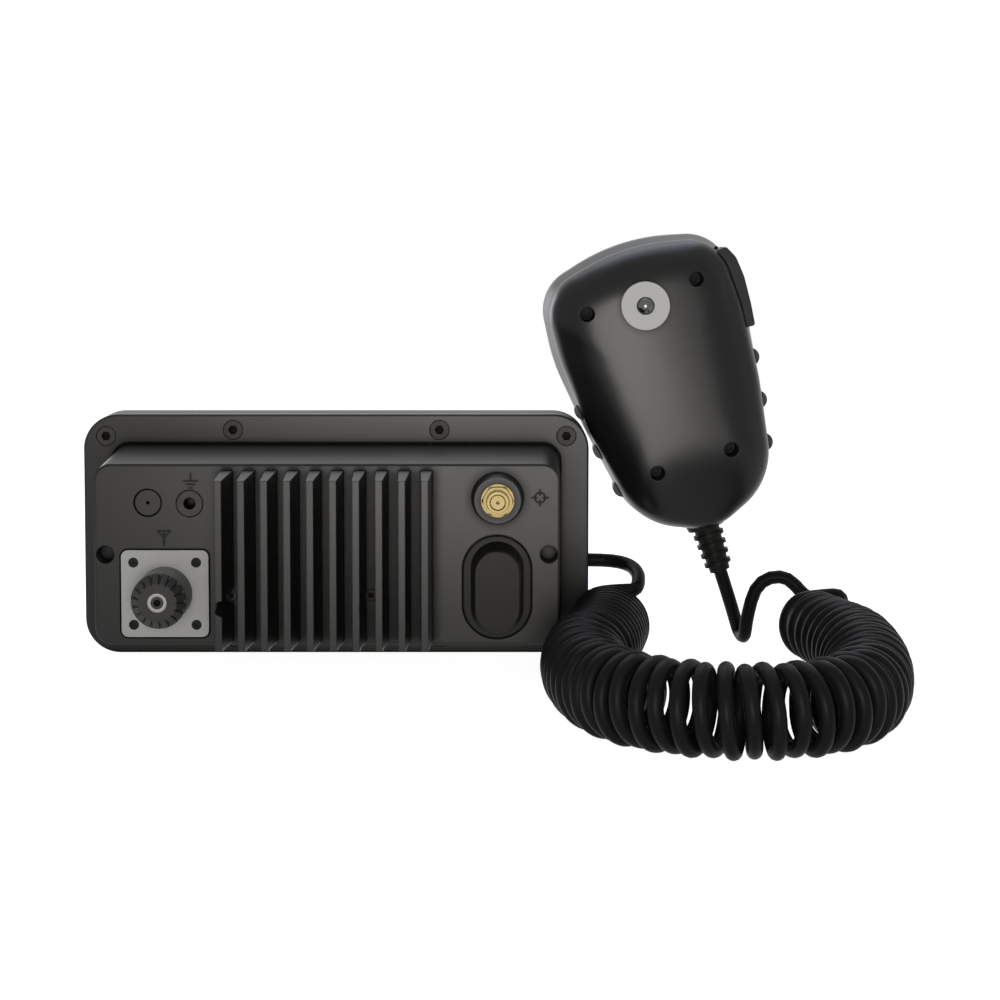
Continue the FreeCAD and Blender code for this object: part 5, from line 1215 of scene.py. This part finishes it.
def new_piece(name, mesh):
    """An object at the origin from a bmesh, with its place in its mesh."""
    data = bpy.data.meshes.new(name)
    mesh.to_mesh(data)
    mesh.free()
    return new_object(name, data)


def mic_rod(mesh, x, z, radius, y0, y1, sides=40):
    """A capped rod along the microphone's depth."""
    ends = []
    for y in (y0, y1):
        ends.append([
            mesh.verts.new(place(*on_mic(
                x + radius * math.cos(2 * math.pi * k / sides), y,
                z + radius * math.sin(2 * math.pi * k / sides),
            ))) for k in range(sides)
        ])
    for k in range(sides):
        j = (k + 1) % sides
        mesh.faces.new((ends[0][k], ends[0][j], ends[1][j], ends[1][k]))
    mesh.faces.new(ends[0][::-1])
    mesh.faces.new(ends[1])


def mic_block(mesh, x0, x1, y0, y1, z0, z1):
    """A block in the microphone's own frame."""
    corners = [
        mesh.verts.new(place(*on_mic(x, y, z)))
        for x in (x0, x1) for y in (y0, y1) for z in (z0, z1)
    ]
    for face in (
        (0, 1, 3, 2), (4, 6, 7, 5), (0, 4, 5, 1), (2, 3, 7, 6), (0, 2, 6, 4), (1, 5, 7, 3),
    ):
        mesh.faces.new([corners[k] for k in face])


mic_back = new_piece("mic_back_shell", back_mesh)
wall = mic_back.modifiers.new("wall", "SOLIDIFY")
wall.thickness = BACK_WALL / 1000
wall.offset = -1
wall.use_even_offset = True
made_plain(mic_back)

columns = bmesh.new()
for x, z in SCREW_PLACES:
    top = back_height(x, z, WELL_INSET) - COLUMN_SUNK
    mic_rod(columns, x, z, COLUMN_R, -top, -BACK_SEAM)
bmesh.ops.recalc_face_normals(columns, faces=columns.faces)
columns = new_piece("screw_columns", columns)
cuts = bmesh.new()
for x, z in SCREW_PLACES:
    mic_rod(cuts, x, z, WELL_R, -BACK_DEPTH - CUT_PAST, -WELL_FLOOR)
mic_rod(cuts, *STUD_HOLE, -BACK_DEPTH - CUT_PAST, -STUD_FLOOR)
mic_block(cuts, *TALK_WINDOW[:2], *TALK_WINDOW[4:], *TALK_WINDOW[2:4])
bmesh.ops.recalc_face_normals(cuts, faces=cuts.faces)
cuts = new_piece("screw_wells", cuts)
for tool, work in ((columns, "UNION"), (cuts, "DIFFERENCE")):
    joint = mic_back.modifiers.new(work, "BOOLEAN")
    joint.object = tool
    joint.operation = work
    joint.solver = "EXACT"
    made_plain(mic_back)
    bpy.data.objects.remove(tool)
for polygon in mic_back.data.polygons:
    polygon.use_smooth = True
mic_back.data.set_sharp_from_angle(angle=math.radians(SHARP_ANGLE))

# Spark-eroded ABS is a dark satin with a grain of a quarter of a millimetre. It is a little
# glossier where hands have rubbed it, and painted shade darkens its corners and wells.
ABS_BLACK = "#111010"
ABS_WORN = "#141313"

moulded_abs, tree, grain = new_finish("spark_eroded_abs")
rubbed = add(tree, "ShaderNodeTexNoise", {"Vector": grain, "Scale": 45.0, "Detail": 3.0})
tint = add(tree, "ShaderNodeMix", {
    0: rubbed.outputs["Fac"], 6: hex_colour(ABS_BLACK), 7: hex_colour(ABS_WORN),
}, data_type="RGBA")
pits = add(tree, "ShaderNodeTexNoise", {"Vector": grain, "Scale": 4000.0, "Detail": 2.0})
edges = add(tree, "ShaderNodeBevel", {"Radius": 0.0004}, samples=4)
relief = add(tree, "ShaderNodeBump", {
    "Height": pits.outputs["Fac"], "Strength": 0.1, "Distance": 0.00002,
    "Normal": edges.outputs[0],
})
gloss = add(tree, "ShaderNodeMapRange", {
    "Value": rubbed.outputs["Fac"], "To Min": 0.31, "To Max": 0.35,
})
# Painted shade: ambient occlusion darkens the colour and the specular in corners and wells.
corners = add(tree, "ShaderNodeAmbientOcclusion", {
    "Color": tint.outputs[2], "Distance": CORNER_SHADE,
}, samples=6)
sheen = add(tree, "ShaderNodeMapRange", {
    "Value": corners.outputs["AO"], "From Min": 0.2, "To Max": 0.2,
})
skin = add(tree, "ShaderNodeBsdfPrincipled", {
    "Base Color": corners.outputs["Color"], "Roughness": gloss.outputs[0],
    "Specular IOR Level": sheen.outputs[0], "Normal": relief.outputs[0],
})
mic_back.data.materials.clear()
mic_back.data.materials.append(moulded_abs)
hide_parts("mic_rear_shell")
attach(mic_back, "radio")
dress(moulded_abs, skin, "mic_front_shell", "grip_ribs")


# ---- Hang-up button ------------------------------------------------------
# The button that hangs in the bulkhead clip is turned from stainless steel with a fine brushed
# face, and its domed centre screw is polished.

STEEL = "#8e8e8e"
DOME = "#5a5a5a"

brushed_steel, tree, grain = new_finish("brushed_stainless")
lines = add(tree, "ShaderNodeTexNoise", {"Vector": grain, "Scale": 2600.0, "Detail": 2.0})
gloss = add(tree, "ShaderNodeMapRange", {
    "Value": lines.outputs["Fac"], "To Min": 0.66, "To Max": 0.74,
})
edges = add(tree, "ShaderNodeBevel", {"Radius": 0.0003}, samples=4)
relief = add(tree, "ShaderNodeBump", {
    "Height": lines.outputs["Fac"], "Strength": 0.05, "Distance": 0.00002,
    "Normal": edges.outputs[0],
})
skin = add(tree, "ShaderNodeBsdfPrincipled", {
    "Base Color": hex_colour(STEEL), "Metallic": 1.0, "Roughness": gloss.outputs[0],
    "Normal": relief.outputs[0],
})
dress(brushed_steel, skin, "hangup_button")

polished_steel, tree, grain = new_finish("polished_stainless")
swirl = add(tree, "ShaderNodeTexNoise", {"Vector": grain, "Scale": 1500.0, "Detail": 2.0})
gloss = add(tree, "ShaderNodeMapRange", {
    "Value": swirl.outputs["Fac"], "To Min": 0.14, "To Max": 0.24,
})
skin = add(tree, "ShaderNodeBsdfPrincipled", {
    "Base Color": hex_colour(DOME), "Metallic": 1.0, "Roughness": gloss.outputs[0],
})
dress(polished_steel, skin, "hangup_screw")
